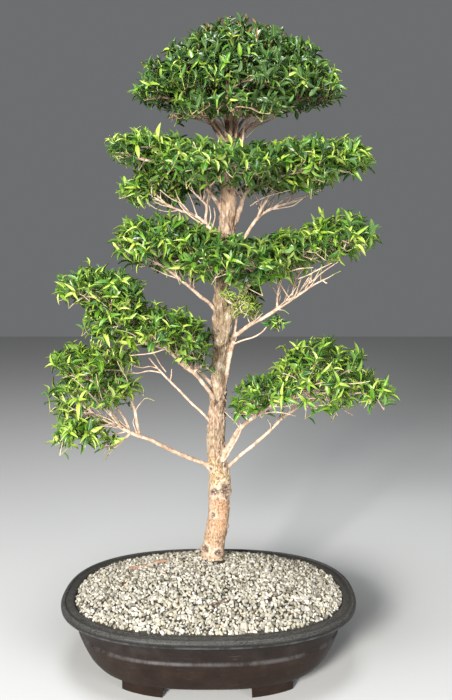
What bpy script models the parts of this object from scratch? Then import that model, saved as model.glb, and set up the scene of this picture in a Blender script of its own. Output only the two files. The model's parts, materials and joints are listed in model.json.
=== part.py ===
# Brush cherry bonsai in an oval training pot, +Z up, metres.
# The tree is one piece of wood (trunk, branches and the thick roots that enter the soil), the leaves
# of each branch are one soft mass, and tree, soil and drain screens sit in a moulded plastic pot.
import math

import bmesh
import bpy
from mathutils import Matrix, Vector

for o in list(bpy.data.objects):
    bpy.data.objects.remove(o)

# ----------------------------------------------------------------------------- driving dimensions
POT_LENGTH = 0.457          # over the rim: an 18 inch oval
POT_WIDTH = 0.342
POT_HEIGHT = 0.104
FOOT_HEIGHT = 0.0125
LIP_WIDTH = 0.0195          # flat top of the rim
WALL = 0.004
RIM_N, BASE_N = 2.42, 2.75  # superellipse exponents of the rim and base outlines
BASE_LENGTH, BASE_WIDTH = 0.326, 0.259
DRAIN_X, DRAIN_R = 0.075, 0.014
WIRE_HOLE_R = 0.0028
SCREEN_SIDE, SCREEN_T, SCREEN_BAR, SCREEN_CELLS = 0.046, 0.0012, 0.0026, 5

TRUNK_X, TRUNK_Y = 0.005, 0.05      # where the trunk leaves the soil, from the pot's centre
MOUND_TOP = 0.136                   # height of the gravel at the trunk
MOUND_EDGE = 0.0995                 # height of the gravel at the pot's wall
GAP = 0.0004                        # between pieces that touch
LEAF_GAP = 0.0008                   # between wood and leaves, and between neighbouring leaf masses
AROUND = 48                         # sides of the pot's rings

# The view the tree's shape was read from: a level-held lens a little above the pot, 1.07 m away.
VIEW = Vector((0.0266, -1.07, 0.580))
VIEW_DOWN = math.radians(5.2)
VIEW_F, VIEW_CX, VIEW_CY = 700.0, 226.0, 350.0


def at(px, py, y):
    """The point that is seen at picture position (px, py) and lies y behind the pot's centre."""
    a, b = (px - VIEW_CX) / VIEW_F, (VIEW_CY - py) / VIEW_F
    c, s = math.cos(VIEW_DOWN), math.sin(VIEW_DOWN)
    d = Vector((a, c + b * s, -s + b * c))
    return VIEW + d * ((y - VIEW.y) / d.y)


def px_size(y, n):
    """n picture steps as a length, y behind the pot's centre."""
    return n * (y - VIEW.y) / VIEW_F


# ----------------------------------------------------------------------------- small helpers
def material(name, colour, roughness, metallic=0.0):
    m = bpy.data.materials.new(name)
    m.use_nodes = True
    p = m.node_tree.nodes["Principled BSDF"]
    p.inputs["Base Color"].default_value = (*colour, 1)
    p.inputs["Roughness"].default_value = roughness
    p.inputs["Metallic"].default_value = metallic
    m.diffuse_color = (*colour, 1)
    return m


PLASTIC = material("pot_plastic", (0.035, 0.033, 0.032), 0.45)
GRAVEL = material("gravel", (0.62, 0.59, 0.52), 0.95)
BARK = material("bark", (0.55, 0.39, 0.28), 0.9)
LEAF = material("leaves", (0.10, 0.24, 0.05), 0.4)
MESHWORK = material("screen_plastic", (0.02, 0.02, 0.02), 0.5)
FLAKE = material("bark_flake", (0.42, 0.25, 0.16), 0.9)


def add(name, bm, mat):
    me = bpy.data.meshes.new(name)
    bmesh.ops.recalc_face_normals(bm, faces=bm.faces)
    bm.to_mesh(me)
    bm.free()
    ob = bpy.data.objects.new(name, me)
    bpy.context.scene.collection.objects.link(ob)
    if mat is not None:
        me.materials.append(mat)
    return ob


def settle(ob):
    """Applies the object's modifiers to its mesh."""
    bpy.context.view_layer.update()
    graph = bpy.context.evaluated_depsgraph_get()
    me = bpy.data.meshes.new_from_object(ob.evaluated_get(graph))
    old = ob.data
    ob.modifiers.clear()
    ob.data = me
    bpy.data.meshes.remove(old)
    return ob


def boolean(ob, other, operation, keep=False):
    m = ob.modifiers.new(operation.lower(), "BOOLEAN")
    m.operation = operation
    m.solver = "EXACT"
    m.object = other
    settle(ob)
    if not keep:
        bpy.data.objects.remove(other)
    return ob


def outline(a, b, n, count=AROUND):
    """A superellipse with half axes a and b, counter-clockwise from +X."""
    pts = []
    for i in range(count):
        t = 2 * math.pi * i / count
        c, s = math.cos(t), math.sin(t)
        pts.append((math.copysign(abs(c) ** (2 / n), c) * a, math.copysign(abs(s) ** (2 / n), s) * b))
    return pts


def loft(name, rings, mat, count=AROUND):
    """Closed solid through rings (z, a, b, n), from the middle of its underside to the middle of its inside or top."""
    bm = bmesh.new()
    loops = []
    for z, a, b, n in rings:
        loops.append([bm.verts.new((x, y, z)) for x, y in outline(a, b, n, count)])
    for low, high in zip(loops, loops[1:]):
        for i in range(count):
            j = (i + 1) % count
            bm.faces.new((low[i], low[j], high[j], high[i]))
    for loop, z in ((loops[0], rings[0][0]), (loops[-1], rings[-1][0])):
        mid = bm.verts.new((0, 0, z))
        for i in range(count):
            bm.faces.new((loop[i], loop[(i + 1) % count], mid))
    return add(name, bm, mat)


def smooth_path(points, per=3):
    """Catmull-Rom points through (Vector, radius) pairs."""
    out = []
    n = len(points)
    for i in range(n - 1):
        p0, p1, p2, p3 = (points[max(0, min(n - 1, k))] for k in (i - 1, i, i + 1, i + 2))
        for s in range(per):
            t = s / per
            t2, t3 = t * t, t * t * t
            w = (-0.5 * t3 + t2 - 0.5 * t, 1.5 * t3 - 2.5 * t2 + 1, -1.5 * t3 + 2 * t2 + 0.5 * t, 0.5 * t3 - 0.5 * t2)
            out.append((
                p0[0] * w[0] + p1[0] * w[1] + p2[0] * w[2] + p3[0] * w[3],
                p0[1] * w[0] + p1[1] * w[1] + p2[1] * w[2] + p3[1] * w[3],
            ))
    out.append(points[-1])
    return out


def tube(name, points, sides, mat, per=2, turn=0.0, uneven=0.0):
    """A tapering limb along (Vector, radius) pairs, with a rounded end."""
    path = smooth_path(points, per)
    bm = bmesh.new()
    tangent = (path[1][0] - path[0][0]).normalized()
    side = tangent.orthogonal().normalized()
    loops = []
    for i, (p, r) in enumerate(path):
        ahead = path[min(i + 1, len(path) - 1)][0] - path[max(i - 1, 0)][0]
        new = ahead.normalized()
        side = (side - new * side.dot(new)).normalized()
        other = new.cross(side)
        ring = []
        for k in range(sides):
            a = 2 * math.pi * k / sides + turn
            rr = r * (1 + uneven * (0.6 * math.sin(2 * a + i * 0.45) + 0.4 * math.sin(3 * a - i * 0.7)))
            ring.append(bm.verts.new(p + (side * math.cos(a) + other * math.sin(a)) * rr))
        loops.append(ring)
    for low, high in zip(loops, loops[1:]):
        for k in range(sides):
            j = (k + 1) % sides
            bm.faces.new((low[k], low[j], high[j], high[k]))
    bm.faces.new(loops[0][::-1])
    tip = bm.verts.new(path[-1][0] + (path[-1][0] - path[-2][0]).normalized() * path[-1][1] * 0.7)
    for k in range(sides):
        bm.faces.new((loops[-1][k], loops[-1][(k + 1) % sides], tip))
    return add(name, bm, mat)


# ----------------------------------------------------------------------------- pot
a, b = POT_LENGTH / 2, POT_WIDTH / 2
ba, bb = BASE_LENGTH / 2, BASE_WIDTH / 2
FLOOR_TOP = FOOT_HEIGHT + 0.0045
profile = [  # underside, outer wall, rim, inner wall, floor: (z, half length, half width, exponent)
    (FOOT_HEIGHT, ba - 0.006, bb - 0.006, BASE_N),
    (FOOT_HEIGHT, ba, bb, BASE_N),
    (FOOT_HEIGHT + 0.006, ba + 0.0125, bb + 0.0090, 2.70),
    (0.0290, 0.1865, 0.1440, 2.62),
    (0.0450, 0.1956, 0.1491, 2.54),
    (0.0615, 0.2028, 0.1538, 2.47),
    (0.0640, 0.2004, 0.1516, 2.46),
    (0.0975, 0.2100, 0.1580, 2.42),
    (0.0985, 0.2240, 0.1665, RIM_N),
    (0.0935, 0.2245, 0.1670, RIM_N),
    (0.0935, 0.2270, 0.1690, RIM_N),
    (0.1020, a, b, RIM_N),
    (POT_HEIGHT, a - 0.0022, b - 0.0022, RIM_N),
    (0.1010, a - LIP_WIDTH - 0.001, b - LIP_WIDTH - 0.001, RIM_N),
    (0.0640, 0.1960, 0.1475, 2.48),
    (0.0450, 0.1905, 0.1440, 2.54),
    (0.0290, 0.1820, 0.1395, 2.62),
    (0.0215, ba + 0.0085, bb + 0.0050, 2.70),
    (FLOOR_TOP, ba - 0.003, bb - 0.003, BASE_N),
]
pot = loft("pot", profile, PLASTIC)


def foot(name, left, back):
    """One of the four feet: a strip of the base outline, moulded on, standing 2 mm proud of the wall."""
    bm = bmesh.new()
    outer, inner = [], []
    steps = 7
    for i in range(steps + 1):
        x = 0.0635 + (0.1235 - 0.0635) * i / steps
        oa, ob = ba + 0.0025, bb + 0.0025
        ia, ib = ba - 0.021, bb - 0.021
        outer.append((x, ob * (1 - (x / oa) ** BASE_N) ** (1 / BASE_N)))
        inner.append((x, ib * (1 - (x / ia) ** BASE_N) ** (1 / BASE_N)))
    sx, sy = (-1 if left else 1), (1 if back else -1)
    ring = [(sx * x, sy * y) for x, y in outer + inner[::-1]]
    low = [bm.verts.new((x, y, 0)) for x, y in ring]
    high = [bm.verts.new((x, y, FOOT_HEIGHT + 0.0022)) for x, y in ring]
    n = len(ring)
    for i in range(n):
        j = (i + 1) % n
        bm.faces.new((low[i], low[j], high[j], high[i]))
    for i in range(steps):
        j = n - 2 - i
        bm.faces.new((low[i], low[i + 1], low[j], low[j + 1]))
        bm.faces.new((high[i], high[i + 1], high[j], high[j + 1]))
    return add(name, bm, None)


for left in (True, False):
    for back in (True, False):
        boolean(pot, foot("foot", left, back), "UNION")


def drill(x, y, r, sides):
    bm = bmesh.new()
    bmesh.ops.create_cone(bm, cap_ends=True, segments=sides, radius1=r, radius2=r, depth=0.02,
                          matrix=Matrix.Translation((x, y, FOOT_HEIGHT + 0.002)) @ Matrix.Rotation(0.11, 4, "Z"))
    return add("drill", bm, None)


for x in (-DRAIN_X, DRAIN_X):
    boolean(pot, drill(x, 0, DRAIN_R, 20), "DIFFERENCE")
    for y in (-0.045, 0.045):
        boolean(pot, drill(x * 0.75, y, WIRE_HOLE_R, 8), "DIFFERENCE")

# ----------------------------------------------------------------------------- drain screens
def screen(name, x):
    """A square of plastic mesh with open cells, lying over a drain hole."""
    n = SCREEN_CELLS
    cell = (SCREEN_SIDE - SCREEN_BAR) / n
    ticks = []
    for i in range(n):
        ticks += [i * cell, i * cell + SCREEN_BAR]
    ticks += [n * cell, n * cell + SCREEN_BAR]
    bm = bmesh.new()
    z0 = FLOOR_TOP + GAP
    grid = [[[bm.verts.new((x - SCREEN_SIDE / 2 + tx, ty - SCREEN_SIDE / 2, z)) for ty in ticks] for tx in ticks]
            for z in (z0, z0 + SCREEN_T)]
    m = len(ticks) - 1
    solid = {(i, j) for i in range(m) for j in range(m) if i % 2 == 0 or j % 2 == 0}
    for i, j in solid:
        for layer in grid:
            bm.faces.new((layer[i][j], layer[i + 1][j], layer[i + 1][j + 1], layer[i][j + 1]))
        for di, dj, p, q in ((-1, 0, (i, j), (i, j + 1)), (1, 0, (i + 1, j), (i + 1, j + 1)),
                             (0, -1, (i, j), (i + 1, j)), (0, 1, (i, j + 1), (i + 1, j + 1))):
            if (i + di, j + dj) not in solid:
                bm.faces.new((grid[0][p[0]][p[1]], grid[0][q[0]][q[1]], grid[1][q[0]][q[1]], grid[1][p[0]][p[1]]))
    loose = [v for v in bm.verts if not v.link_faces]
    bmesh.ops.delete(bm, geom=loose, context="VERTS")
    return add(name, bm, MESHWORK)


screen("drain_screen_left", -DRAIN_X)
screen("drain_screen_right", DRAIN_X)

# ----------------------------------------------------------------------------- wood
Y = TRUNK_Y
# (px, py, y, radius in mm) from base to tip. The first point of a branch lies inside the limb that carries it.
TRUNK = [
    (211, 598, Y, 23), (211.5, 584, Y, 20.5), (212, 570, Y, 18.5), (212.5, 556, Y, 17), (214.3, 540, Y, 16.0),
    (217.8, 520, Y, 16.5), (219.4, 504, Y, 16.8), (219.8, 486, Y, 17.4), (218.4, 470, Y, 16.4), (216.6, 455, Y, 15.0),
    (216.2, 436, Y, 14.6), (217, 415, Y, 13.7), (217.7, 396, Y, 12.9), (218.6, 380, Y, 12.5), (219.6, 362, Y - .002, 11.8),
    (220.6, 345, Y - .003, 13.0), (220.4, 330, Y - .004, 12.8), (220.4, 316, Y - .005, 11.8), (221.2, 300, Y - .006, 11.6),
    (223, 280, Y - .006, 12.4), (224.8, 260, Y - .007, 13.2), (226.3, 240, Y - .008, 14.0), (227.4, 222, Y - .009, 14.6),
    (228, 206, Y - .01, 14.6), (228.6, 190, Y - .01, 14.0), (229.5, 172, Y - .011, 13.2), (230.2, 155, Y - .012, 12.6),
    (230.8, 140, Y - .012, 12.4), (231.2, 128, Y - .012, 11.4), (231.6, 116, Y - .012, 8.5), (232, 104, Y - .012, 5.5),
]
BRANCHES = {
    # lowest left branch and the shoots on it
    "left_low": [(214, 470, Y, 5.2), (204, 463.5, .045, 3.9), (187, 457, .04, 3.6), (170, 450, .03, 3.6), (152, 441, .02, 3.5),
                 (138, 435, .015, 3.4), (124, 430, .01, 2.9), (112.5, 425, .005, 2.3), (100, 418, 0, 1.8)],
    "left_low_up": [(139, 436, .015, 2.8), (135.8, 413, .02, 2.6), (133, 405, .025, 2.4), (128.3, 390, .03, 2.1)],
    "left_low_mid": [(126, 431, .012, 2.4), (115, 417, .018, 2.0), (106, 406, .022, 1.7)],
    "left_low_mid_right": [(131, 432.5, .013, 2.3), (123, 418, .016, 2.0), (115, 405, .018, 1.7)],
    # thin branch, then the thick forked pair above it
    "left_thin": [(214, 427, Y, 3.2), (205, 416, .045, 2.5), (192, 403, .042, 2.3), (180, 391, .04, 2.2), (168, 379, .04, 2.1),
                  (160, 370, .04, 1.9), (149, 358, .045, 1.7)],
    "left_main": [(218.5, 407, .043, 5.0), (210, 392.5, .031, 4.3), (200, 379, .02, 4.2), (190, 370, .01, 4.2), (180, 361, 0, 4.0),
                  (168, 350, -.01, 3.7), (155, 339, -.015, 3.2), (142, 328, -.02, 2.7), (128, 317, -.022, 2.2)],
    "left_second": [(216, 389, .045, 3.8), (204, 376.5, .045, 3.1), (193, 367, .045, 2.9), (182, 357, .045, 2.8),
                    (171, 345, .05, 2.6), (160, 334, .06, 2.3), (146, 322, .07, 2.0)],
    "left_upright": [(184, 365, .004, 2.6), (185, 352, .004, 2.3), (186, 340, .006, 2.0)],
    # right side
    "right_main": [(220, 467, .043, 7.6), (225.5, 453, .037, 6.2), (231.5, 442, .03, 5.4), (237.5, 432, .022, 4.4), (245, 424, .015, 3.7),
                   (256, 415, .005, 3.5), (272, 406, -.005, 3.3), (290, 398, -.012, 3.0), (310, 391, -.018, 2.6), (330, 386, -.02, 2.2)],
    "right_low": [(222, 474, Y, 5.0), (236, 461, .05, 3.5), (250, 448, .05, 3.2), (266, 433.5, .05, 3.0), (282, 418.5, .052, 2.9),
                  (300, 406, .055, 2.7), (322, 397, .06, 2.4), (345, 393, .065, 2.0)],
    # stem that stands free of the trunk for a hand's width, and the long branch it gives off
    "side_stem": [(221, 394, Y, 6.0), (225.8, 379, .048, 4.4), (228.7, 367, .046, 3.6), (231.1, 356, .045, 3.5), (232.8, 344, .044, 3.6), (233.2, 336, .043, 3.9),
                  (234.6, 328, .042, 2.9), (236.2, 318, .041, 2.7), (238.4, 305, .043, 2.6), (243, 292, .047, 2.5), (248, 280, .052, 2.3), (252, 271, .055, 2.0)],
    "side_stem_bridge": [(224, 337, .046, 5.0), (228.5, 336.5, .044, 4.4), (233, 337, .043, 3.9)],
    "fork_front": [(219.5, 345, .045, 7.5), (222.6, 336, .038, 8.4), (226.0, 326, .034, 8.6), (230.0, 314, .032, 8.4), (233.8, 305, .030, 7.4), (238.5, 297, .026, 5.4),
                   (246, 289, .022, 3.6), (255, 280, .016, 2.8), (264, 271, .010, 2.2)],
    "right_mid": [(231.5, 338, .043, 4.2), (240, 332, .040, 3.8), (251, 324.5, .036, 3.7), (264, 316.5, .033, 3.6), (277, 308, .03, 3.3), (290, 300, .026, 2.9),
                  (301, 293.5, .02, 2.3), (313, 285.5, .018, 1.9), (323, 280, .015, 1.6)],
    "right_mid_up": [(277, 309.5, .03, 2.4), (277.3, 299, .028, 1.9), (278.6, 290, .026, 1.7), (280, 280, .022, 1.5)],
    "right_mid_fork": [(292, 299, .024, 2.3), (293.4, 290, .03, 1.8), (295.5, 280, .035, 1.6), (301, 269, .04, 1.4)],
    "right_twig": [(234, 343.5, .043, 1.9), (245, 339.5, .04, 1.5), (254, 336.5, .04, 1.4), (262, 331.5, .04, 1.3), (267, 326, .04, 1.1)],
    # third tier
    "third_left": [(222, 322, .04, 4.6), (210, 306, .035, 3.4), (200, 297, .03, 3.1), (190, 287.5, .026, 2.9), (179, 277.5, .022, 2.7),
                   (165, 268, .016, 2.4), (150, 260, .01, 2.1), (136, 253, .005, 1.7)],
    "third_back": [(224, 296, .05, 4.4), (225, 287, .08, 3.3), (232, 279, .11, 2.7), (242, 273, .14, 2.2)],
    "third_front": [(223, 290, .035, 3.8), (229, 281, .01, 2.8), (236, 274, -.02, 2.3), (243, 269, -.045, 1.8)],
    "third_right": [(226, 270, .04, 4.2), (243, 262, .025, 3.2), (262, 258, .012, 2.8), (284, 254, .004, 2.4), (304, 250, 0, 2.0)],
    # second tier
    "second_left_low": [(225, 247, .045, 5.4), (215, 234, .05, 3.8), (204, 222.5, .055, 3.2), (197, 216.5, .057, 2.9), (190, 213, .06, 2.8),
                        (181, 210.5, .066, 2.6), (172, 207.5, .072, 2.4), (162, 202, .08, 2.0), (152, 196, .088, 1.7)],
    "second_left_fork": [(207.5, 228, .053, 3.0), (205, 218, .047, 2.7), (205.8, 206, .04, 2.4), (200.5, 199, .036, 2.2), (194, 193, .034, 1.9)],
    "second_left": [(225, 216, .042, 5.2), (218.5, 204.5, .038, 4.0), (212, 196, .035, 3.8), (206, 189, .03, 3.4), (194, 179, .022, 2.8), (178, 170, .012, 2.3),
                    (160, 161, .004, 1.8)],
    "second_right": [(228, 243, .043, 6.6), (235, 224, .043, 5.2), (240, 208, .04, 4.8), (244.5, 197, .035, 4.3), (252, 189, .026, 3.6),
                     (264, 182, .016, 3.0), (282, 176, .004, 2.6), (302, 171, -.006, 2.2)],
    "second_right_low": [(232, 256, .044, 5.4), (245, 236, .05, 4.1), (254.5, 223, .052, 3.8), (262, 214.5, .054, 3.4), (272, 209, .056, 3.0),
                         (286, 204, .06, 2.6), (302, 199, .066, 2.1)],
    "second_right_fork": [(256, 221, .052, 2.8), (263, 207, .044, 2.4), (270, 193, .036, 2.0)],
    "second_front": [(229, 190, .03, 3.6), (228, 180, 0, 2.7), (226, 173, -.03, 2.2), (223, 168, -.055, 1.7)],
    "second_back": [(229, 196, .05, 4.0), (233, 194, .085, 3.0), (241, 195, .12, 2.4), (250, 196, .15, 1.9)],
    # crown
    "crown_left": [(229, 142, .04, 5.0), (218, 127, .034, 3.6), (208, 117, .028, 3.0), (196, 110, .02, 2.4), (183, 104, .01, 1.9)],
    "crown_left_back": [(227, 150, .042, 4.0), (216, 133, .05, 2.8), (207.5, 119, .06, 2.3), (198, 111, .075, 1.9)],
    "crown_right": [(233, 146, .042, 5.4), (244, 129, .04, 4.0), (255, 123.5, .036, 3.3), (270, 117, .03, 2.7), (287, 110.5, .02, 2.0)],
    "crown_right_back": [(233, 136, .045, 4.2), (245, 119, .06, 3.0), (256, 110, .08, 2.4), (268, 103, .1, 1.9)],
    "crown_up_left": [(230, 130, .038, 4.8), (222, 112, .04, 3.4), (212, 96, .042, 2.6), (201, 82, .045, 1.9)],
    "crown_up_right": [(232, 130, .038, 4.8), (242, 111, .04, 3.4), (252, 94, .042, 2.5), (263, 78, .042, 1.9)],
    "crown_front": [(231, 134, .03, 4.2), (230, 120, .005, 3.0), (228, 108, -.025, 2.3), (226, 100, -.055, 1.8)],
}
# healed pruning wounds and burrs: (px, py, y, radius mm)
BURRS = [
    (206, 548.5, Y - .004, 9.0), (218.3, 553, Y - .010, 9.5), (226.2, 490, Y - .005, 10.0), (213.8, 490.5, Y - .010, 8.0), (212.5, 516, Y - .009, 7.0),
    (221, 399, Y - .006, 7.5), (221, 460, Y - .010, 7.5), (217.5, 331, Y - .008, 6.4), (212.8, 338, Y - .003, 4.6), (227, 526, Y - .004, 4.4),
]
# thick roots that leave the trunk under the gravel: (dx, dy, dz) ends from the trunk's foot, radius mm
ROOTS = [(-0.060, -0.012, -0.036, 7), (0.052, -0.030, -0.036, 7), (0.040, 0.045, -0.038, 6.5), (-0.034, 0.040, -0.038, 6), (0.004, -0.055, -0.040, 7)]

def grow_wood(name, mat, extra=0.0):
    """The whole woody tree as one solid. With extra, every limb is that much thicker, which gives the shape to cut with."""
    tree = tube(name, [(at(px, py, y), r / 1000 + extra) for px, py, y, r in TRUNK], 14, mat, per=1, uneven=0.05)
    collar = at(211.5, 584, Y)
    for dx, dy, dz, r in ROOTS:
        end = collar + Vector((dx, dy, dz))
        mid = collar + Vector((dx * 0.5, dy * 0.5, dz * 0.32))
        start = collar + Vector((dx * 0.08, dy * 0.08, 0.006))
        boolean(tree, tube("root", [(start, r * 1.3e-3 + extra), (mid, r * 1e-3 + extra), (end, r * 0.55e-3 + extra)], 7, None), "UNION")
    for i, (px, py, y, r) in enumerate(BURRS):
        bm = bmesh.new()
        bmesh.ops.create_icosphere(bm, subdivisions=1, radius=r / 1000 + extra * 1.3,
                                   matrix=Matrix.Translation(at(px, py, y)) @ Matrix.Rotation(0.7 * i, 4, "Z") @ Matrix.Rotation(0.4 * i, 4, "X"))
        boolean(tree, add("burr", bm, None), "UNION")
    for i, (limb, pts) in enumerate(BRANCHES.items()):
        thick = max(p[3] for p in pts[1:]) > 5
        boolean(tree, tube(limb, [(at(px, py, y), r / 1000 + extra) for px, py, y, r in pts], 7 if thick else 5, None,
                           per=1, turn=0.31 * i), "UNION")
    return tree


wood = grow_wood("trunk_and_branches", BARK)


def swollen(ob, amount):
    """A copy of ob grown by amount along its normals, to cut with."""
    copy = bpy.data.objects.new("cutter", ob.data.copy())
    bpy.context.scene.collection.objects.link(copy)
    bm = bmesh.new()
    bm.from_mesh(copy.data)
    bmesh.ops.triangulate(bm, faces=bm.faces)
    bm.normal_update()
    moves = []
    for v in bm.verts:
        n = v.normal
        if n.length < 1e-6:
            n = Vector((0, 0, 1))
        tight = min([max(0.35, n.dot(f.normal)) for f in v.link_faces] or [1])
        moves.append(v.co + n * (amount / tight))
    for v, co in zip(bm.verts, moves):
        v.co = co
    bm.to_mesh(copy.data)
    bm.free()
    return copy


# ----------------------------------------------------------------------------- leaves
def leaf_mass(name, blobs, cuts=(), faces=300):
    """The space that one branch's leaves fill: merged ellipsoids (px, py, y, rx px, rz px, ry m), trimmed by
    planes (point, normal) that keep it off its neighbours."""
    bm = bmesh.new()
    for px, py, y, rx, rz, ry in blobs:
        m = Matrix.Translation(at(px, py, y)) @ Matrix.Diagonal((px_size(y, rx), ry, px_size(y, rz), 1))
        bmesh.ops.create_icosphere(bm, subdivisions=3, radius=1.0, matrix=m)
    ob = add(name, bm, LEAF)
    remesh = ob.modifiers.new("merge", "REMESH")
    remesh.mode = "VOXEL"
    remesh.voxel_size = 0.0075
    relax = ob.modifiers.new("relax", "SMOOTH")
    relax.factor, relax.iterations = 0.5, 6
    settle(ob)
    thin = ob.modifiers.new("thin", "DECIMATE")
    thin.ratio = min(1.0, faces / max(1, sum(len(p.vertices) - 2 for p in ob.data.polygons)))
    settle(ob)
    for point, normal in cuts:
        bm = bmesh.new()
        bm.from_mesh(ob.data)
        n = Vector(normal).normalized()
        bmesh.ops.bisect_plane(bm, geom=bm.verts[:] + bm.edges[:] + bm.faces[:], dist=1e-6,
                               plane_co=Vector(point) - n * LEAF_GAP / 2, plane_no=n, clear_outer=True)
        edges = [e for e in bm.edges if e.is_boundary]
        if edges:
            bmesh.ops.holes_fill(bm, edges=edges, sides=0)
        bmesh.ops.triangulate(bm, faces=[f for f in bm.faces if len(f.verts) > 4])
        bmesh.ops.recalc_face_normals(bm, faces=bm.faces)
        bm.to_mesh(ob.data)
        bm.free()
    ob.data.materials.clear()
    ob.data.materials.append(LEAF)
    return ob


def under(z):
    """A level plane that keeps what lies below it."""
    return ((0, 0, z), (0, 0, 1))


def over(z):
    return ((0, 0, z), (0, 0, -1))


MASSES = [
    ("leaves_crown", [(240, 93, .035, 104, 15, .118), (239, 76, .036, 97, 20, .110), (241, 57, .038, 78, 21, .090),
                      (242, 42, .040, 52, 16, .065), (227, 31, .042, 24, 12, .035), (233, 106, -.045, 62, 12, .055)], [], 560),
    ("leaves_second_tier", [(146, 149, .02, 42, 17, .080), (190, 160, .02, 42, 18, .105), (122, 154, .01, 18, 10, .04),
                            (300, 165, .02, 50, 25, .110), (346, 160, .02, 29, 20, .075), (262, 165, .03, 42, 20, .105),
                            (226, 164, -.04, 58, 20, .085), (236, 168, .02, 60, 22, .10), (168, 175, .07, 34, 15, .06),
                            (160, 189, .12, 44, 17, .065), (205, 182, .14, 44, 16, .07), (268, 180, .14, 46, 16, .065)], [], 900),
    ("leaves_third_tier", [(160, 243, .02, 50, 29, .09), (190, 251, .03, 36, 28, .11), (130, 243, .01, 20, 14, .05),
                           (340, 238, .02, 42, 25, .085), (305, 250, .03, 42, 22, .10), (266, 261, .03, 34, 23, .10),
                           (232, 263, -.04, 52, 25, .07), (232, 262, 0, 56, 26, .08),
                           (200, 262, .13, 50, 22, .065), (262, 262, .13, 50, 22, .065), (252, 295, .09, 15, 23, .030)], [], 900),
    ("leaves_left_upper", [(100, 290, 0, 46, 22, .085), (118, 318, 0, 36, 27, .10), (158, 332, .01, 40, 24, .105), (190, 342, .02, 26, 26, .085)],
     [over(at(150, 346, 0).z - .014)], 420),
    ("leaves_left_lower", [(90, 364, .02, 44, 23, .085), (88, 395, .01, 46, 25, .095), (80, 431, 0, 33, 24, .065), (108, 444, .01, 16, 11, .035),
                           (124, 385, .02, 18, 23, .06)],
     [under(at(150, 346, 0).z - .0155)], 360),
    ("leaves_right_lower", [(320, 370, .01, 52, 31, .105), (300, 391, .01, 60, 23, .11), (360, 388, .02, 37, 20, .08), (254, 403, .02, 29, 20, .065)], [], 420),
    ("leaves_side_twig", [(276, 323, .04, 13, 8, .016)], [], 60),
]
cutter = grow_wood("cutter", None, LEAF_GAP * 1.25)
for name, blobs, cuts, faces in MASSES:
    boolean(leaf_mass(name, blobs, cuts, faces), cutter, "DIFFERENCE", keep=True)

# ----------------------------------------------------------------------------- bark flake on the gravel
def mound(x, y):
    """Height of the gravel's surface."""
    w = inner_outline(MOUND_EDGE)
    cx, cy = TRUNK_X * 1.0, TRUNK_Y * 0.75
    n = 2.42
    # how far out the point lies, from 0 at the mound's top to 1 at the pot's wall
    low, high = 0.0, 1.0
    for _ in range(26):
        s = (low + high) / 2
        ox, oy = cx * (1 - s), cy * (1 - s)
        if (abs(x - ox) / (w[0] * s + 1e-9)) ** n + (abs(y - oy) / (w[1] * s + 1e-9)) ** n > 1:
            low = s
        else:
            high = s
    s = (low + high) / 2
    front = max(0.0, -y / w[1])
    edge = MOUND_EDGE + 0.0035 * front
    return edge + (MOUND_TOP - edge) * (1 - s ** 1.75) ** 1.15


def inner_outline(z):
    """Half length and half width of the pot's inside at height z, less the gap."""
    inside = profile[13:]
    for (z1, a1, b1, n1), (z0, a0, b0, n0) in zip(inside, inside[1:]):
        if z0 <= z <= z1:
            t = (z - z0) / (z1 - z0)
            return a0 + (a1 - a0) * t - GAP, b0 + (b1 - b0) * t - GAP, n0 + (n1 - n0) * t
    return inside[0][1] - GAP, inside[0][2] - GAP, inside[0][3]


def flake(name, x0, y0, length, width, turn):
    bm = bmesh.new()
    steps, across = 9, 4
    top, low = [], []
    for i in range(steps + 1):
        u = i / steps
        half = width / 2 * (0.35 + 0.65 * math.sin(math.pi * min(1, max(0, 0.08 + 0.86 * u))) ** 0.7)
        bend = 0.006 * math.sin(2.6 * u + 0.4)
        rt, rl = [], []
        for j in range(across + 1):
            v = (j / across - 0.5) * 2
            lx, ly = (u - 0.5) * length, v * half + bend
            x = x0 + lx * math.cos(turn) - ly * math.sin(turn)
            y = y0 + lx * math.sin(turn) + ly * math.cos(turn)
            arch = 0.0026 * (1 - v * v) + 0.0012 * math.sin(7 * u)
            z = mound(x, y) + 0.0010 + arch
            rt.append(bm.verts.new((x, y, z + 0.0016)))
            rl.append(bm.verts.new((x, y, z - 0.0002)))
        top.append(rt)
        low.append(rl)
    for i in range(steps):
        for j in range(across):
            bm.faces.new((top[i][j], top[i + 1][j], top[i + 1][j + 1], top[i][j + 1]))
            bm.faces.new((low[i][j], low[i][j + 1], low[i + 1][j + 1], low[i + 1][j]))
    for i in range(steps):
        for j in (0, across):
            bm.faces.new((top[i][j], top[i + 1][j], low[i + 1][j], low[i][j]))
    for i in (0, steps):
        for j in range(across):
            bm.faces.new((top[i][j], top[i][j + 1], low[i][j + 1], low[i][j]))
    return add(name, bm, FLAKE)


def on_gravel(px, py):
    """Where the sight line through (px, py) first meets the gravel."""
    y = -0.14
    while y < 0.14:
        p = at(px, py, y)
        if p.z <= mound(p.x, p.y):
            return p
        y += 0.0005
    return at(px, py, 0.14)


FLAKE_AT = on_gravel(149, 567)
bark_flake = flake("bark_flake", FLAKE_AT.x, FLAKE_AT.y, 0.068, 0.010, 0.10)

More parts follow.
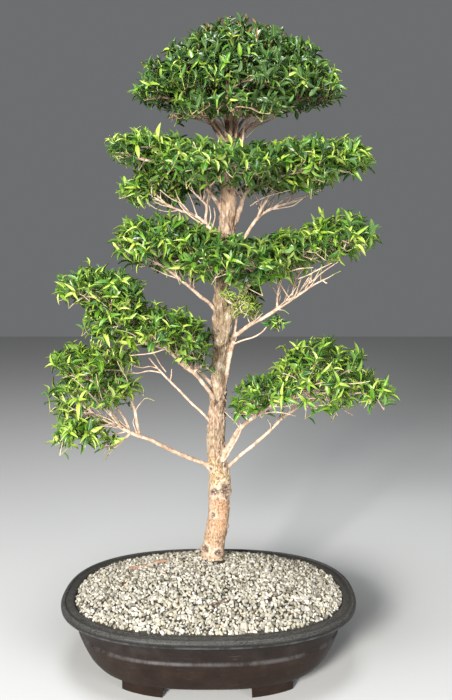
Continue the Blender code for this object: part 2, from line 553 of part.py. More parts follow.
# ----------------------------------------------------------------------------- soil
def soil_body():
    bm = bmesh.new()
    count, rings = AROUND, 7
    cx, cy = TRUNK_X, TRUNK_Y * 0.75
    loops = []
    levels = [FLOOR_TOP + GAP, 0.0217, 0.0292, 0.0452, 0.0642, MOUND_EDGE]
    for z in levels:
        ea, eb, en = inner_outline(z)
        if z < 0.018:
            ea, eb = ea - 0.001, eb - 0.001
        loops.append([bm.verts.new((x, y, z + (0.0035 * max(0.0, -y / eb) if z == MOUND_EDGE else 0))) for x, y in outline(ea, eb, en, count)])
    wa, wb, wn = inner_outline(MOUND_EDGE)
    for k in range(rings - 1, 0, -1):
        s = k / rings
        ring = []
        for x, y in outline(wa * s, wb * s, wn, count):
            px, py = x + cx * (1 - s), y + cy * (1 - s)
            ring.append(bm.verts.new((px, py, mound(px, py))))
        loops.append(ring)
    for low, high in zip(loops, loops[1:]):
        for i in range(count):
            j = (i + 1) % count
            bm.faces.new((low[i], low[j], high[j], high[i]))
    for loop, z in ((loops[0], levels[0]), (loops[-1], MOUND_TOP)):
        mid = bm.verts.new((0 if loop is loops[0] else cx, 0 if loop is loops[0] else cy, z))
        for i in range(count):
            bm.faces.new((loop[i], loop[(i + 1) % count], mid))
    return add("soil", bm, GRAVEL)


soil = soil_body()
for x in (-DRAIN_X, DRAIN_X):
    bm = bmesh.new()
    bmesh.ops.create_cube(bm, size=1, matrix=Matrix.Translation((x, 0, FLOOR_TOP))
                          @ Matrix.Diagonal((SCREEN_SIDE + 0.001, SCREEN_SIDE + 0.001, 2 * (SCREEN_T + 2 * GAP), 1)))
    boolean(soil, add("pocket", bm, None), "DIFFERENCE")
boolean(soil, swollen(bark_flake, GAP), "DIFFERENCE")
boolean(soil, cutter, "DIFFERENCE", keep=True)
bpy.data.objects.remove(cutter)

# ----------------------------------------------------------------------------- finish
everything = [o for o in bpy.data.objects if o.type == "MESH"]
low = Vector([min(v.co[k] for o in everything for v in o.data.vertices) for k in range(3)])
high = Vector([max(v.co[k] for o in everything for v in o.data.vertices) for k in range(3)])
middle = Vector(((low.x + high.x) / 2, (low.y + high.y) / 2, 0))
for o in everything:
    o.data.transform(Matrix.Translation(-middle))  # the origin is the middle of the footprint, at the feet's level
    o.data.shade_smooth()
    o.data.set_sharp_from_angle(angle=math.radians(35))
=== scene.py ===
import json
import math

import bmesh
import bpy
import numpy as np
from mathutils import Matrix, Vector, kdtree, noise

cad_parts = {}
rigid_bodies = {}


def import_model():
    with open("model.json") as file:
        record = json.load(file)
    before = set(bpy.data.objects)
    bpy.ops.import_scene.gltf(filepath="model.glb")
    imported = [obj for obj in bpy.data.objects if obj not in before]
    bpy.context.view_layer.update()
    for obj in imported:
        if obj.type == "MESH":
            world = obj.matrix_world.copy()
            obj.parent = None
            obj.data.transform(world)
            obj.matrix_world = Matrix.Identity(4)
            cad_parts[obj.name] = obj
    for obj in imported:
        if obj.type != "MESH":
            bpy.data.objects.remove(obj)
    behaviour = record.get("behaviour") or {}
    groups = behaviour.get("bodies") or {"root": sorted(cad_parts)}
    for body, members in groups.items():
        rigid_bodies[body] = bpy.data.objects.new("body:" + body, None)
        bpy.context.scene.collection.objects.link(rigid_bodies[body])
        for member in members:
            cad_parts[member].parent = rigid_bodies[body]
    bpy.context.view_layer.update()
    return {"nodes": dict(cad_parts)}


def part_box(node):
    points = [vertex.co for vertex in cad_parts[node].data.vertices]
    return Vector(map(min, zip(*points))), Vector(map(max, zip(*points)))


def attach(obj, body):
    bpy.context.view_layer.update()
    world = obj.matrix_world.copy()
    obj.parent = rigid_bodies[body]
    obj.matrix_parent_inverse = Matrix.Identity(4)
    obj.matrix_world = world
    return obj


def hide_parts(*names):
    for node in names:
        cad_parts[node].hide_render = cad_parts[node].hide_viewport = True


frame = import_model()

rng = np.random.default_rng(20240)

# ---------------------------------------------------------------------------- frame
pot_low, pot_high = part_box("pot")
ORIGIN = Vector(((pot_low[0] + pot_high[0]) / 2, (pot_low[1] + pot_high[1]) / 2, 0))  # the pot's centre
VIEW = Vector((0.0266, -1.07, 0.580)) + ORIGIN
VIEW_DOWN = math.radians(5.2)
VIEW_F, VIEW_CX, VIEW_CY = 700.0, 226.0, 350.0
COS, SIN = math.cos(VIEW_DOWN), math.sin(VIEW_DOWN)


def at(px, py, y):
    """World point seen at picture position (px, py), y behind the pot's centre."""
    a, b = (px - VIEW_CX) / VIEW_F, (VIEW_CY - py) / VIEW_F
    d = Vector((a, COS + b * SIN, -SIN + b * COS))
    return VIEW + d * ((y + ORIGIN.y - VIEW.y) / d.y)


def px_size(y, n):
    return n * (y + ORIGIN.y - VIEW.y) / VIEW_F


# ---------------------------------------------------------------------------- mesh helpers
class Pile:
    """Collects vertices and faces of many small closed shapes for one mesh."""

    def __init__(self):
        self.v, self.f3, self.f4, self.n = [], [], [], 0
        self.extra = []

    def add(self, verts, quads=None, tris=None, extra=None):
        self.v.append(np.asarray(verts, np.float32))
        if quads is not None and len(quads):
            self.f4.append(np.asarray(quads, np.int32) + self.n)
        if tris is not None and len(tris):
            self.f3.append(np.asarray(tris, np.int32) + self.n)
        if extra is not None:
            self.extra.append(np.asarray(extra, np.float32))
        self.n += len(verts)


def mesh_object(name, verts, quads=None, tris=None, smooth=True):
    me = bpy.data.meshes.new(name)
    nq = 0 if quads is None else len(quads)
    nt = 0 if tris is None else len(tris)
    me.vertices.add(len(verts))
    me.vertices.foreach_set("co", np.asarray(verts, np.float32).ravel())
    loops = []
    if nq:
        loops.append(np.asarray(quads, np.int32).ravel())
    if nt:
        loops.append(np.asarray(tris, np.int32).ravel())
    loops = np.concatenate(loops)
    me.loops.add(len(loops))
    me.loops.foreach_set("vertex_index", loops)
    starts = np.concatenate([np.arange(nq) * 4, nq * 4 + np.arange(nt) * 3]).astype(np.int32)
    me.polygons.add(nq + nt)
    me.polygons.foreach_set("loop_start", starts)
    me.polygons.foreach_set("use_smooth", np.full(nq + nt, smooth))
    me.update(calc_edges=True)
    ob = bpy.data.objects.new(name, me)
    bpy.context.scene.collection.objects.link(ob)
    return ob


def pile_object(name, pile, smooth=True):
    quads = np.concatenate(pile.f4) if pile.f4 else None
    tris = np.concatenate(pile.f3) if pile.f3 else None
    return mesh_object(name, np.concatenate(pile.v), quads, tris, smooth)


def settle(ob):
    bpy.context.view_layer.update()
    graph = bpy.context.evaluated_depsgraph_get()
    me = bpy.data.meshes.new_from_object(ob.evaluated_get(graph))
    old = ob.data
    ob.modifiers.clear()
    ob.data = me
    bpy.data.meshes.remove(old)
    return ob


def catmull(P, R, per):
    """Catmull-Rom points and radii, per steps between neighbours."""
    P, R = np.asarray(P, float), np.asarray(R, float)
    n = len(P)
    Q = np.concatenate([P, R[:, None]], 1)
    out = []
    t = np.arange(per) / per
    w = np.stack([-0.5 * t**3 + t**2 - 0.5 * t, 1.5 * t**3 - 2.5 * t**2 + 1, -1.5 * t**3 + 2 * t**2 + 0.5 * t, 0.5 * t**3 - 0.5 * t**2], 1)
    for i in range(n - 1):
        k = [max(0, i - 1), i, i + 1, min(n - 1, i + 2)]
        out.append(w @ Q[k])
    out.append(Q[-1:])
    Q = np.concatenate(out)
    return Q[:, :3], Q[:, 3]


def sweep(pile, P, R, sides, blunt=0.7, turn=0.0, extra=None):
    """Adds a closed tapering tube along P with radii R."""
    P = np.asarray(P, float)
    n = len(P)
    T = np.empty_like(P)
    T[1:-1] = P[2:] - P[:-2]
    T[0], T[-1] = P[1] - P[0], P[-1] - P[-2]
    T /= np.linalg.norm(T, axis=1)[:, None] + 1e-12
    side = np.cross(T[0], [0.31, 0.17, 0.93])
    if np.linalg.norm(side) < 1e-3:
        side = np.cross(T[0], [1, 0, 0])
    S = np.empty_like(P)
    for i in range(n):
        side = side - T[i] * side.dot(T[i])
        side /= np.linalg.norm(side) + 1e-12
        S[i] = side
    O = np.cross(T, S)
    a = 2 * math.pi * np.arange(sides) / sides + turn
    ring = P[:, None] + (S[:, None] * np.cos(a)[None, :, None] + O[:, None] * np.sin(a)[None, :, None]) * np.asarray(R)[:, None, None]
    verts = np.concatenate([ring.reshape(-1, 3), [P[-1] + T[-1] * R[-1] * blunt], [P[0] - T[0] * R[0] * 0.3]])
    i, k = np.meshgrid(np.arange(n - 1), np.arange(sides), indexing="ij")
    k2 = (k + 1) % sides
    quads = np.stack([i * sides + k, i * sides + k2, (i + 1) * sides + k2, (i + 1) * sides + k], -1).reshape(-1, 4)
    k = np.arange(sides)
    k2 = (k + 1) % sides
    last = (n - 1) * sides
    tris = np.concatenate([np.stack([last + k, last + k2, np.full(sides, n * sides)], 1), np.stack([k2, k, np.full(sides, n * sides + 1)], 1)])
    ex = None
    if extra is not None:
        e = np.asarray(extra, float)
        ex = np.concatenate([np.repeat(e, sides), [e[-1], e[0]]])
    pile.add(verts, quads, tris, ex)


# ---------------------------------------------------------------------------- material helpers
def new_material(name):
    m = bpy.data.materials.new(name)
    m.use_nodes = True
    nt = m.node_tree
    for n in list(nt.nodes):
        if n.type != "BSDF_PRINCIPLED" and n.type != "OUTPUT_MATERIAL":
            nt.nodes.remove(n)
    p = next(n for n in nt.nodes if n.type == "BSDF_PRINCIPLED")
    return m, nt, p


def node(nt, kind, **values):
    n = nt.nodes.new(kind)
    for k, v in values.items():
        setattr(n, k, v)
    return n


def link(nt, a, b):
    nt.links.new(a, b)


def ramp(nt, fac, stops, mode="LINEAR"):
    n = nt.nodes.new("ShaderNodeValToRGB")
    n.color_ramp.interpolation = mode
    els = n.color_ramp.elements
    while len(els) > 1:
        els.remove(els[-1])
    els[0].position, els[0].color = stops[0][0], (*stops[0][1], 1)
    for pos, col in stops[1:]:
        e = els.new(pos)
        e.color = (*col, 1)
    link(nt, fac, n.inputs["Fac"])
    return n.outputs["Color"]


def maths(nt, op, a, b=None, clamp=False):
    n = nt.nodes.new("ShaderNodeMath")
    n.operation = op
    n.use_clamp = clamp
    for i, v in enumerate((a, b)):
        if v is None:
            continue
        if isinstance(v, (int, float)):
            n.inputs[i].default_value = v
        else:
            link(nt, v, n.inputs[i])
    return n.outputs[0]


def mix(nt, fac, a, b, blend="MIX"):
    n = nt.nodes.new("ShaderNodeMix")
    n.data_type = "RGBA"
    n.blend_type = blend
    for sock, v in ((n.inputs[0], fac), (n.inputs[6], a), (n.inputs[7], b)):
        if isinstance(v, (int, float)):
            sock.default_value = v
        elif isinstance(v, tuple):
            sock.default_value = (*v, 1)
        else:
            link(nt, v, sock)
    return n.outputs[2]


def noise_tex(nt, vector, scale, detail=4.0, rough=0.55, distortion=0.0):
    n = nt.nodes.new("ShaderNodeTexNoise")
    n.inputs["Scale"].default_value = scale
    n.inputs["Detail"].default_value = detail
    n.inputs["Roughness"].default_value = rough
    n.inputs["Distortion"].default_value = distortion
    if vector is not None:
        link(nt, vector, n.inputs["Vector"])
    return n.outputs["Fac"]


def stretched(nt, vector, scale):
    n = nt.nodes.new("ShaderNodeMapping")
    n.inputs["Scale"].default_value = scale
    link(nt, vector, n.inputs["Vector"])
    return n.outputs["Vector"]


def bump(nt, height, strength, distance, normal=None):
    n = nt.nodes.new("ShaderNodeBump")
    n.inputs["Strength"].default_value = strength
    n.inputs["Distance"].default_value = distance
    link(nt, height, n.inputs["Height"])
    if normal is not None:
        link(nt, normal, n.inputs["Normal"])
    return n.outputs["Normal"]


def object_coords(nt):
    return nt.nodes.new("ShaderNodeTexCoord").outputs["Object"]


def attribute(nt, name):
    return node(nt, "ShaderNodeAttribute", attribute_name=name).outputs["Fac"]


# ---------------------------------------------------------------------------- the tree's limbs
Y = 0.05
# (px, py, y, radius in mm) from base to tip; the first point of a branch lies inside the limb that carries it
TRUNK = [
    (211, 598, Y, 23), (211.5, 584, Y, 20.5), (212, 570, Y, 18.5), (213.0, 556, Y, 18.5), (214.8, 540, Y, 17.9),
    (217.6, 520, Y, 17.8), (219.1, 504, Y, 17.5), (219.8, 486, Y, 18.3), (218.4, 470, Y, 16.8), (216.6, 455, Y, 15.0),
    (216.2, 436, Y, 14.6), (217, 415, Y, 13.7), (217.7, 396, Y, 12.9), (218.6, 380, Y, 12.5), (219.6, 362, Y - .002, 11.8),
    (220.6, 345, Y - .003, 13.0), (220.4, 330, Y - .004, 12.8), (220.4, 316, Y - .005, 11.8), (221.2, 300, Y - .006, 11.6),
    (223, 280, Y - .006, 11.9), (224.8, 260, Y - .007, 12.2), (226.3, 240, Y - .008, 12.5), (227.4, 222, Y - .009, 12.5),
    (228, 206, Y - .01, 12.4), (228.6, 190, Y - .01, 12.0), (229.5, 172, Y - .011, 11.2), (230.2, 155, Y - .012, 10.6),
    (230.8, 140, Y - .012, 10.4), (231.2, 128, Y - .012, 9.4), (231.6, 116, Y - .012, 7.5), (232, 104, Y - .012, 5.0),
]
BRANCHES = {
    # lowest left branch and the shoots on it
    "left_low": [(214, 470, Y, 5.2), (204, 463.5, .045, 3.9), (187, 457, .04, 3.6), (170, 450, .03, 3.6), (152, 441, .02, 3.5),
                 (138, 435, .015, 3.4), (124, 430, .01, 2.9), (112.5, 425, .005, 2.3), (100, 418, 0, 1.8)],
    "left_low_up": [(139, 436, .015, 2.8), (135.8, 413, .02, 2.6), (133, 405, .025, 2.4), (128.3, 390, .03, 2.1)],
    "left_low_mid": [(126, 431, .012, 2.4), (115, 417, .018, 2.0), (106, 406, .022, 1.7)],
    "left_low_mid_right": [(131, 432.5, .013, 2.3), (123, 418, .016, 2.0), (115, 405, .018, 1.7)],
    # thin branch, then the thick forked pair above it
    "left_thin": [(214, 427, Y, 3.2), (205, 416, .045, 2.5), (192, 403, .042, 2.3), (180, 391, .04, 2.2), (168, 379, .04, 2.1),
                  (160, 370, .04, 1.9), (149, 358, .045, 1.7)],
    "left_main": [(218.5, 407, .043, 5.0), (210, 392.5, .031, 4.3), (200, 379, .02, 4.2), (190, 370, .01, 4.2), (180, 361, 0, 4.0),
                  (168, 350, -.01, 3.7), (155, 339, -.015, 3.2), (142, 328, -.02, 2.7), (128, 317, -.022, 2.2)],
    "left_second": [(216, 389, .045, 3.8), (204, 376.5, .045, 3.1), (193, 367, .045, 2.9), (182, 357, .045, 2.8),
                    (171, 345, .05, 2.6), (160, 334, .06, 2.3), (146, 322, .07, 2.0)],
    "left_upright": [(184, 365, .004, 2.6), (185, 352, .004, 2.3), (186, 340, .006, 2.0)],
    # right side
    "right_main": [(220, 467, .043, 7.6), (225.5, 453, .037, 6.2), (231.5, 442, .03, 5.4), (237.5, 432, .022, 4.4), (245, 424, .015, 3.7),
                   (256, 415, .005, 3.5), (272, 406, -.005, 3.3), (290, 398, -.012, 3.0), (310, 391, -.018, 2.6), (330, 386, -.02, 2.2)],
    "right_low": [(222, 474, Y, 5.0), (236, 461, .05, 3.5), (250, 448, .05, 3.2), (266, 433.5, .05, 3.0), (282, 418.5, .052, 2.9),
                  (300, 406, .055, 2.7), (322, 397, .06, 2.4), (345, 393, .065, 2.0)],
    # stem that stands free of the trunk for a hand's width, and the long branch it gives off
    "side_stem": [(221, 394, Y, 6.0), (225.8, 379, .048, 4.4), (228.7, 367, .046, 3.6), (231.1, 356, .045, 3.5), (232.8, 344, .044, 3.6), (233.2, 336, .043, 3.9),
                  (234.6, 328, .042, 2.9), (236.2, 318, .041, 2.7), (238.4, 305, .043, 2.6), (243, 292, .047, 2.5), (248, 280, .052, 2.3), (252, 271, .055, 2.0)],
    "side_stem_bridge": [(224, 337, .046, 5.0), (228.5, 336.5, .044, 4.4), (233, 337, .043, 3.9)],
    "fork_front": [(219.5, 345, .045, 7.5), (222.6, 336, .038, 8.4), (226.0, 326, .034, 8.6), (230.0, 314, .032, 8.4), (233.8, 305, .030, 7.4), (238.5, 297, .026, 5.4),
                   (246, 289, .022, 3.6), (255, 280, .016, 2.8), (264, 271, .010, 2.2)],
    "right_mid": [(231.5, 338, .043, 4.2), (240, 332, .040, 3.8), (251, 324.5, .036, 3.7), (264, 316.5, .033, 3.6), (277, 308, .03, 3.3), (290, 300, .026, 2.9),
                  (301, 293.5, .02, 2.3), (313, 285.5, .018, 1.9), (323, 280, .015, 1.6)],
    "right_mid_up": [(277, 309.5, .03, 2.4), (277.3, 299, .028, 1.9), (278.6, 290, .026, 1.7), (280, 280, .022, 1.5)],
    "right_mid_fork": [(292, 299, .024, 2.3), (293.4, 290, .03, 1.8), (295.5, 280, .035, 1.6), (301, 269, .04, 1.4)],
    "right_twig": [(234, 343.5, .043, 1.9), (245, 339.5, .04, 1.5), (254, 336.5, .04, 1.4), (262, 331.5, .04, 1.3), (267, 326, .04, 1.1)],
    # third tier
    "third_left": [(222, 322, .04, 4.6), (210, 306, .035, 3.4), (200, 297, .03, 3.1), (190, 287.5, .026, 2.9), (179, 277.5, .022, 2.7),
                   (165, 268, .016, 2.4), (150, 260, .01, 2.1), (136, 253, .005, 1.7)],
    "third_back": [(224, 296, .05, 4.4), (225, 287, .08, 3.3), (232, 279, .11, 2.7), (242, 273, .14, 2.2)],
    "third_front": [(223, 290, .035, 3.8), (229, 281, .01, 2.8), (236, 274, -.02, 2.3), (243, 269, -.045, 1.8)],
    "third_right": [(226, 270, .04, 4.2), (243, 262, .025, 3.2), (262, 258, .012, 2.8), (284, 254, .004, 2.4), (304, 250, 0, 2.0)],
    # second tier
    "second_left_low": [(225, 247, .045, 5.4), (215, 234, .05, 3.8), (204, 222.5, .055, 3.2), (197, 216.5, .057, 2.9), (190, 213, .06, 2.8),
                        (181, 210.5, .066, 2.6), (172, 207.5, .072, 2.4), (162, 202, .08, 2.0), (152, 196, .088, 1.7)],
    "second_left_fork": [(207.5, 228, .053, 3.0), (205, 218, .047, 2.7), (205.8, 206, .04, 2.4), (200.5, 199, .036, 2.2), (194, 193, .034, 1.9)],
    "second_left": [(225, 216, .042, 5.2), (218.5, 204.5, .038, 4.0), (212, 196, .035, 3.8), (206, 189, .03, 3.4), (194, 179, .022, 2.8), (178, 170, .012, 2.3),
                    (160, 161, .004, 1.8)],
    "second_right": [(228, 243, .043, 6.6), (235, 224, .043, 5.2), (240, 208, .04, 4.8), (244.5, 197, .035, 4.3), (252, 189, .026, 3.6),
                     (264, 182, .016, 3.0), (282, 176, .004, 2.6), (302, 171, -.006, 2.2)],
    "second_right_low": [(232, 256, .044, 5.4), (245, 236, .05, 4.1), (254.5, 223, .052, 3.8), (262, 214.5, .054, 3.4), (272, 209, .056, 3.0),
                         (286, 204, .06, 2.6), (302, 199, .066, 2.1)],
    "second_right_fork": [(256, 221, .052, 2.8), (263, 207, .044, 2.4), (270, 193, .036, 2.0)],
    "second_front": [(229, 190, .03, 3.6), (228, 180, 0, 2.7), (226, 173, -.03, 2.2), (223, 168, -.055, 1.7)],
    "second_back": [(229, 196, .05, 4.0), (233, 194, .085, 3.0), (241, 195, .12, 2.4), (250, 196, .15, 1.9)],
    # crown
    "crown_left": [(229, 142, .04, 5.0), (218, 127, .034, 3.6), (208, 117, .028, 3.0), (196, 110, .02, 2.4), (183, 104, .01, 1.9)],
    "crown_left_back": [(227, 150, .042, 4.0), (216, 133, .05, 2.8), (207.5, 119, .06, 2.3), (198, 111, .075, 1.9)],
    "crown_right": [(233, 146, .042, 5.4), (244, 129, .04, 4.0), (255, 123.5, .036, 3.3), (270, 117, .03, 2.7), (287, 110.5, .02, 2.0)],
    "crown_right_back": [(233, 136, .045, 4.2), (245, 119, .06, 3.0), (256, 110, .08, 2.4), (268, 103, .1, 1.9)],
    "crown_up_left": [(230, 130, .038, 4.8), (222, 112, .04, 3.4), (212, 96, .042, 2.6), (201, 82, .045, 1.9)],
    "crown_up_right": [(232, 130, .038, 4.8), (242, 111, .04, 3.4), (252, 94, .042, 2.5), (263, 78, .042, 1.9)],
    "crown_front": [(231, 134, .03, 4.2), (230, 120, .005, 3.0), (228, 108, -.025, 2.3), (226, 100, -.055, 1.8)],
}
BURRS = [
    (206, 548.5, Y - .004, 9.0), (218.3, 553, Y - .010, 9.5), (226.2, 490, Y - .005, 10.0), (213.8, 490.5, Y - .010, 8.0), (212.5, 516, Y - .009, 7.0),
    (221, 399, Y - .006, 7.5), (221, 460, Y - .010, 7.5), (217.5, 331, Y - .008, 6.4), (212.8, 338, Y - .003, 4.6), (227, 526, Y - .004, 4.4),
]
KNOTS = [  # round scars with a raised rim: (px, py, radius px, depth 0 to 1)
    (214.2, 492.0, 4.8, 1.0), (225.8, 489.5, 7.0, 1.0), (227.5, 497, 3.2, .8), (229.0, 484, 2.0, 1.4), (213.2, 514.8, 2.9, .9), (205.4, 548, 4.3, 1.1), (218.8, 553, 4.7, 1.3), (212.5, 548.5, 2.0, .4), (217.2, 330.5, 2.6, .5),
    (211, 469, 2.6, .8), (225.5, 465, 3.0, .8), (217.5, 478, 2.4, .5), (221.5, 483, 2.0, .6), (210, 484, 1.8, .6),
    (237, 131, 1.9, 1.2), (225.5, 132, 2.2, .6), (233, 136, 1.5, 1.0), (229, 143, 1.4, .7),
    (219, 452, 1.6, 1.2), (227, 526, 1.8, .6), (221, 399, 2.2, .6), (219.5, 461, 2.6, .4), (216, 430, 1.8, .5), (210.8, 338, 1.5, .5),
]
STRANDS = [  # small bare twigs seen below the pads: points (px, py, y, radius mm)
    [(223, 461, .034, 2.3), (227.6, 457, .030, 2.0), (232.4, 447.5, .024, 1.9), (237.4, 437.5, .018, 1.8), (240.8, 430, .016, 1.6)],
    [(240, 428.5, .020, 1.2), (236, 423, .018, 0.9), (230, 417, .016, 0.8), (225, 412, .014, 0.7)],
    [(241, 428, .020, 1.2), (240, 421, .018, 0.8), (238.5, 415, .016, 0.6)],
    [(161.7, 373, .04, 1.4), (150, 371, .036, 1.3), (136.7, 373.5, .03, 1.2), (122, 372, .026, 1.0), (106, 373, .02, 0.8)],
    [(158.5, 369, .04, 1.1), (150, 366.5, .036, 1.0), (141, 367.5, .032, 0.9), (128, 364, .028, 0.7)],
    [(170.5, 381, .04, 1.1), (171.5, 375, .039, 1.0), (171.7, 369, .038, 0.8)],
    [(168, 348, -.01, 1.2), (155, 352, -.012, 1.1), (144, 354, -.014, 1.0), (131, 355.5, -.016, 0.8)],
    [(166, 372, .04, 1.2), (158, 361, .03, 1.0), (153, 352, .02, 0.8)],
    [(126, 431.5, .011, 1.3), (118, 433.5, .006, 1.1), (110, 434, .002, 0.9), (101, 431, 0, 0.8)],
    [(119, 428, .008, 1.2), (111, 420, .006, 1.0), (104, 413, .004, 0.8)],
    [(112, 424, .005, 1.3), (103, 424.5, .002, 1.1), (93, 422, 0, 0.8)],
    [(135.5, 411, .022, 1.2), (140, 404, .018, 0.8), (146, 398, .014, 0.6), (155, 401, .010, 0.4)],
    [(143, 396, .016, 0.6), (143.5, 390, .012, 0.5), (141, 385, .01, 0.4)],
    [(122, 428, .006, 1.4), (110, 415, -.010, 1.2), (97, 402, -.026, 1.0), (84, 388, -.042, 0.8), (72, 378, -.055, 0.6)],
    [(112, 417, -.008, 1.1), (104, 403, -.022, 0.9), (99, 388, -.036, 0.8), (96, 374, -.048, 0.6)],
    [(126, 429, .010, 1.3), (112, 421, -.008, 1.1), (95, 414, -.024, 0.9), (80, 412, -.040, 0.8), (68, 406, -.050, 0.6)],
    [(118, 428, .004, 1.2), (104, 426, -.010, 1.0), (90, 432, -.022, 0.8), (80, 440, -.030, 0.6)],
    [(186, 366, .030, 1.6), (176, 356, .012, 1.4), (166, 344, -.008, 1.2), (156, 330, -.030, 1.0), (147, 318, -.050, 0.7)],
    [(196, 372, .034, 1.6), (186, 358, .020, 1.4), (178, 342, .004, 1.2), (172, 328, -.014, 1.0), (165, 315, -.034, 0.7)],
    [(172, 351, -.002, 1.2), (158, 347, -.020, 1.0), (143, 341, -.040, 0.9), (130, 333, -.056, 0.7), (117, 330, -.066, 0.5)],
    [(160, 343, .010, 1.1), (146, 331, -.004, 1.0), (130, 322, -.020, 0.9), (113, 312, -.036, 0.8), (99, 300, -.050, 0.6)],
    [(262, 413, .0, 1.5), (276, 402, -.016, 1.3), (292, 394, -.034, 1.1), (310, 386, -.052, 0.9), (328, 382, -.066, 0.7)],
    [(284, 400, -.008, 1.2), (297, 388, -.028, 1.0), (308, 374, -.046, 0.9), (316, 362, -.060, 0.7)],
    [(322, 389, -.020, 1.1), (338, 384, -.036, 0.9), (354, 384, -.048, 0.8), (370, 381, -.056, 0.6)],
    [(204.5, 226, .052, 1.5), (198, 221, .053, 1.3), (191, 216.5, .055, 1.2), (184, 210, .058, 0.9), (176, 200, .06, 0.8)],
    [(208.5, 226, .050, 1.3), (210.5, 217, .046, 1.0), (209, 207, .042, 0.8), (205, 199, .04, 0.7)],
    [(213, 227, .047, 1.3), (215.2, 217, .044, 1.0), (214, 208, .040, 0.8)],
    [(190, 213, .06, 1.3), (182, 204, .055, 1.0), (172, 199, .05, 0.9), (160, 190, .045, 0.7)],
    [(181, 210.5, .066, 1.1), (168, 212, .06, 0.9), (157, 209, .055, 0.8), (147, 203, .05, 0.6)],
    [(262, 214.5, .054, 1.5), (263.5, 205, .050, 1.2), (268, 197, .046, 1.0), (276, 190, .04, 0.8)],
    [(272, 209, .056, 1.3), (283, 207.5, .056, 1.1), (294, 205, .056, 0.9), (303, 198, .055, 0.7)],
    [(244, 198, .036, 1.5), (240, 188, .030, 1.1), (234, 180, .024, 0.9)],
    [(250, 206, .04, 1.2), (262, 199, .03, 1.0), (276, 194, .02, 0.9), (290, 190, .01, 0.7)],
    [(296, 296.5, .022, 1.4), (303, 286, .02, 1.1), (309, 277, .018, 1.0), (316, 269, .016, 0.8)],
    [(290, 299, .026, 1.3), (284.5, 291, .022, 1.0), (281, 285, .02, 0.8)],
    [(298, 279, .012, 0.9), (309, 274.5, .010, 1.0), (320, 269, .008, 1.0), (332, 263, .006, 0.8)],
    [(281, 276, .004, 0.9), (291, 271, .002, 1.0), (301, 268.5, 0, 1.0), (313, 267.5, 0, 0.8)],
    [(321.5, 280.3, .015, 1.0), (325.5, 283, .014, 0.9), (327, 283.2, .014, 0.7)],
    [(322, 280.3, .015, 1.0), (328, 277.5, .013, 0.9), (333, 274.5, .012, 0.6)],
    [(308, 289, .018, 1.2), (316, 278, .012, 1.0), (326, 270, .008, 0.9), (338, 262, .004, 0.8)],
    [(252, 324.5, .034, 1.0), (258, 318.5, .028, 0.8), (263, 313, .024, 0.5)],
    [(277.5, 309.5, .028, 0.9), (284, 310.5, .024, 0.5), (289, 314, .022, 0.4)],
    [(218, 127, .034, 1.8), (207, 122.5, .028, 1.4), (196, 119, .022, 1.2), (184, 117, .016, 0.9)],
    [(208, 117, .028, 1.6), (200, 116, .020, 1.3), (190, 110, .012, 1.1), (178, 108, .006, 0.8)],
    [(224, 135, .036, 2.0), (212, 119, .030, 1.5), (206, 108, .024, 1.2), (203, 98, .02, 0.9)],
    [(220, 137, .046, 1.8), (216, 125, .05, 1.4), (214, 114, .05, 1.2), (214, 104, .05, 0.9)],
    [(238, 137, .042, 1.8), (250, 129, .03, 1.5), (262, 124, .02, 1.2), (276, 117, .01, 0.9)],
    [(236, 138, .046, 1.6), (247, 123, .046, 1.3), (252, 112, .044, 1.1), (260, 104, .04, 0.9)],
    [(234, 142, .048, 1.4), (240, 126, .05, 1.2), (245, 116, .05, 1.0), (246, 106, .05, 0.8)],
    [(225, 143, .028, 2.3), (219, 133, .026, 2.1), (213, 124, .024, 1.9), (206.5, 115, .022, 1.6), (202, 106, .02, 1.2)],
    [(230, 138, .026, 1.8), (222, 127, .022, 1.7), (213, 120.5, .02, 1.6), (205, 117.8, .018, 1.4), (193, 117.5, .016, 1.1), (186, 116, .014, 0.9)],
    [(208, 117, .02, 1.3), (197, 114, .018, 1.1), (186, 113, .016, 0.8)],
    [(227, 136, .024, 1.9), (222.5, 123, .022, 1.6), (217, 111, .02, 1.4), (212, 101, .018, 1.1)],
    [(241, 133, .03, 1.8), (247, 122.5, .026, 1.5), (252, 114, .024, 1.3), (257, 106, .022, 1.0)],
    [(253, 123.5, .03, 1.3), (259, 115, .028, 1.2), (264, 109, .026, 0.9)],
    [(245, 139, .03, 0.6), (256, 129, .03, 0.5), (268, 119, .03, 0.4)],
    [(241.5, 142, .026, 2.2), (242.5, 133, .025, 2.0), (244, 126, .026, 1.6)],
    [(230, 137, .024, 2.4), (229, 127, .022, 2.0), (231, 117, .02, 1.7), (229, 108, .018, 1.2)],
    [(236, 138, .024, 2.2), (237.5, 127, .022, 1.8), (235, 117, .02, 1.5), (238, 108, .018, 1.1)],
    [(290, 398, -.012, 1.8), (302, 400, -.016, 1.3), (314, 398.5, -.02, 1.0), (330, 400, -.024, 0.8)],
    [(272, 406, -.005, 1.6), (284, 406.5, -.012, 1.3), (296, 404, -.018, 1.1), (308, 406.5, -.024, 0.9)],
    [(310, 391, -.018, 1.4), (322, 393, -.024, 1.2), (335, 392, -.03, 1.0), (350, 395, -.034, 0.8)],
    [(322, 397, .05, 1.4), (334, 402, .04, 1.1), (346, 411, .03, 0.9), (353, 415.5, .024, 0.6)],
    [(256, 415, .005, 1.8), (268, 412.5, 0, 1.3), (282, 413, -.006, 1.1), (296, 416, -.01, 0.8)],
    [(300, 406, .05, 1.4), (316, 408, .03, 1.1), (332, 409, .02, 0.9), (350, 404, .01, 0.7)],
]
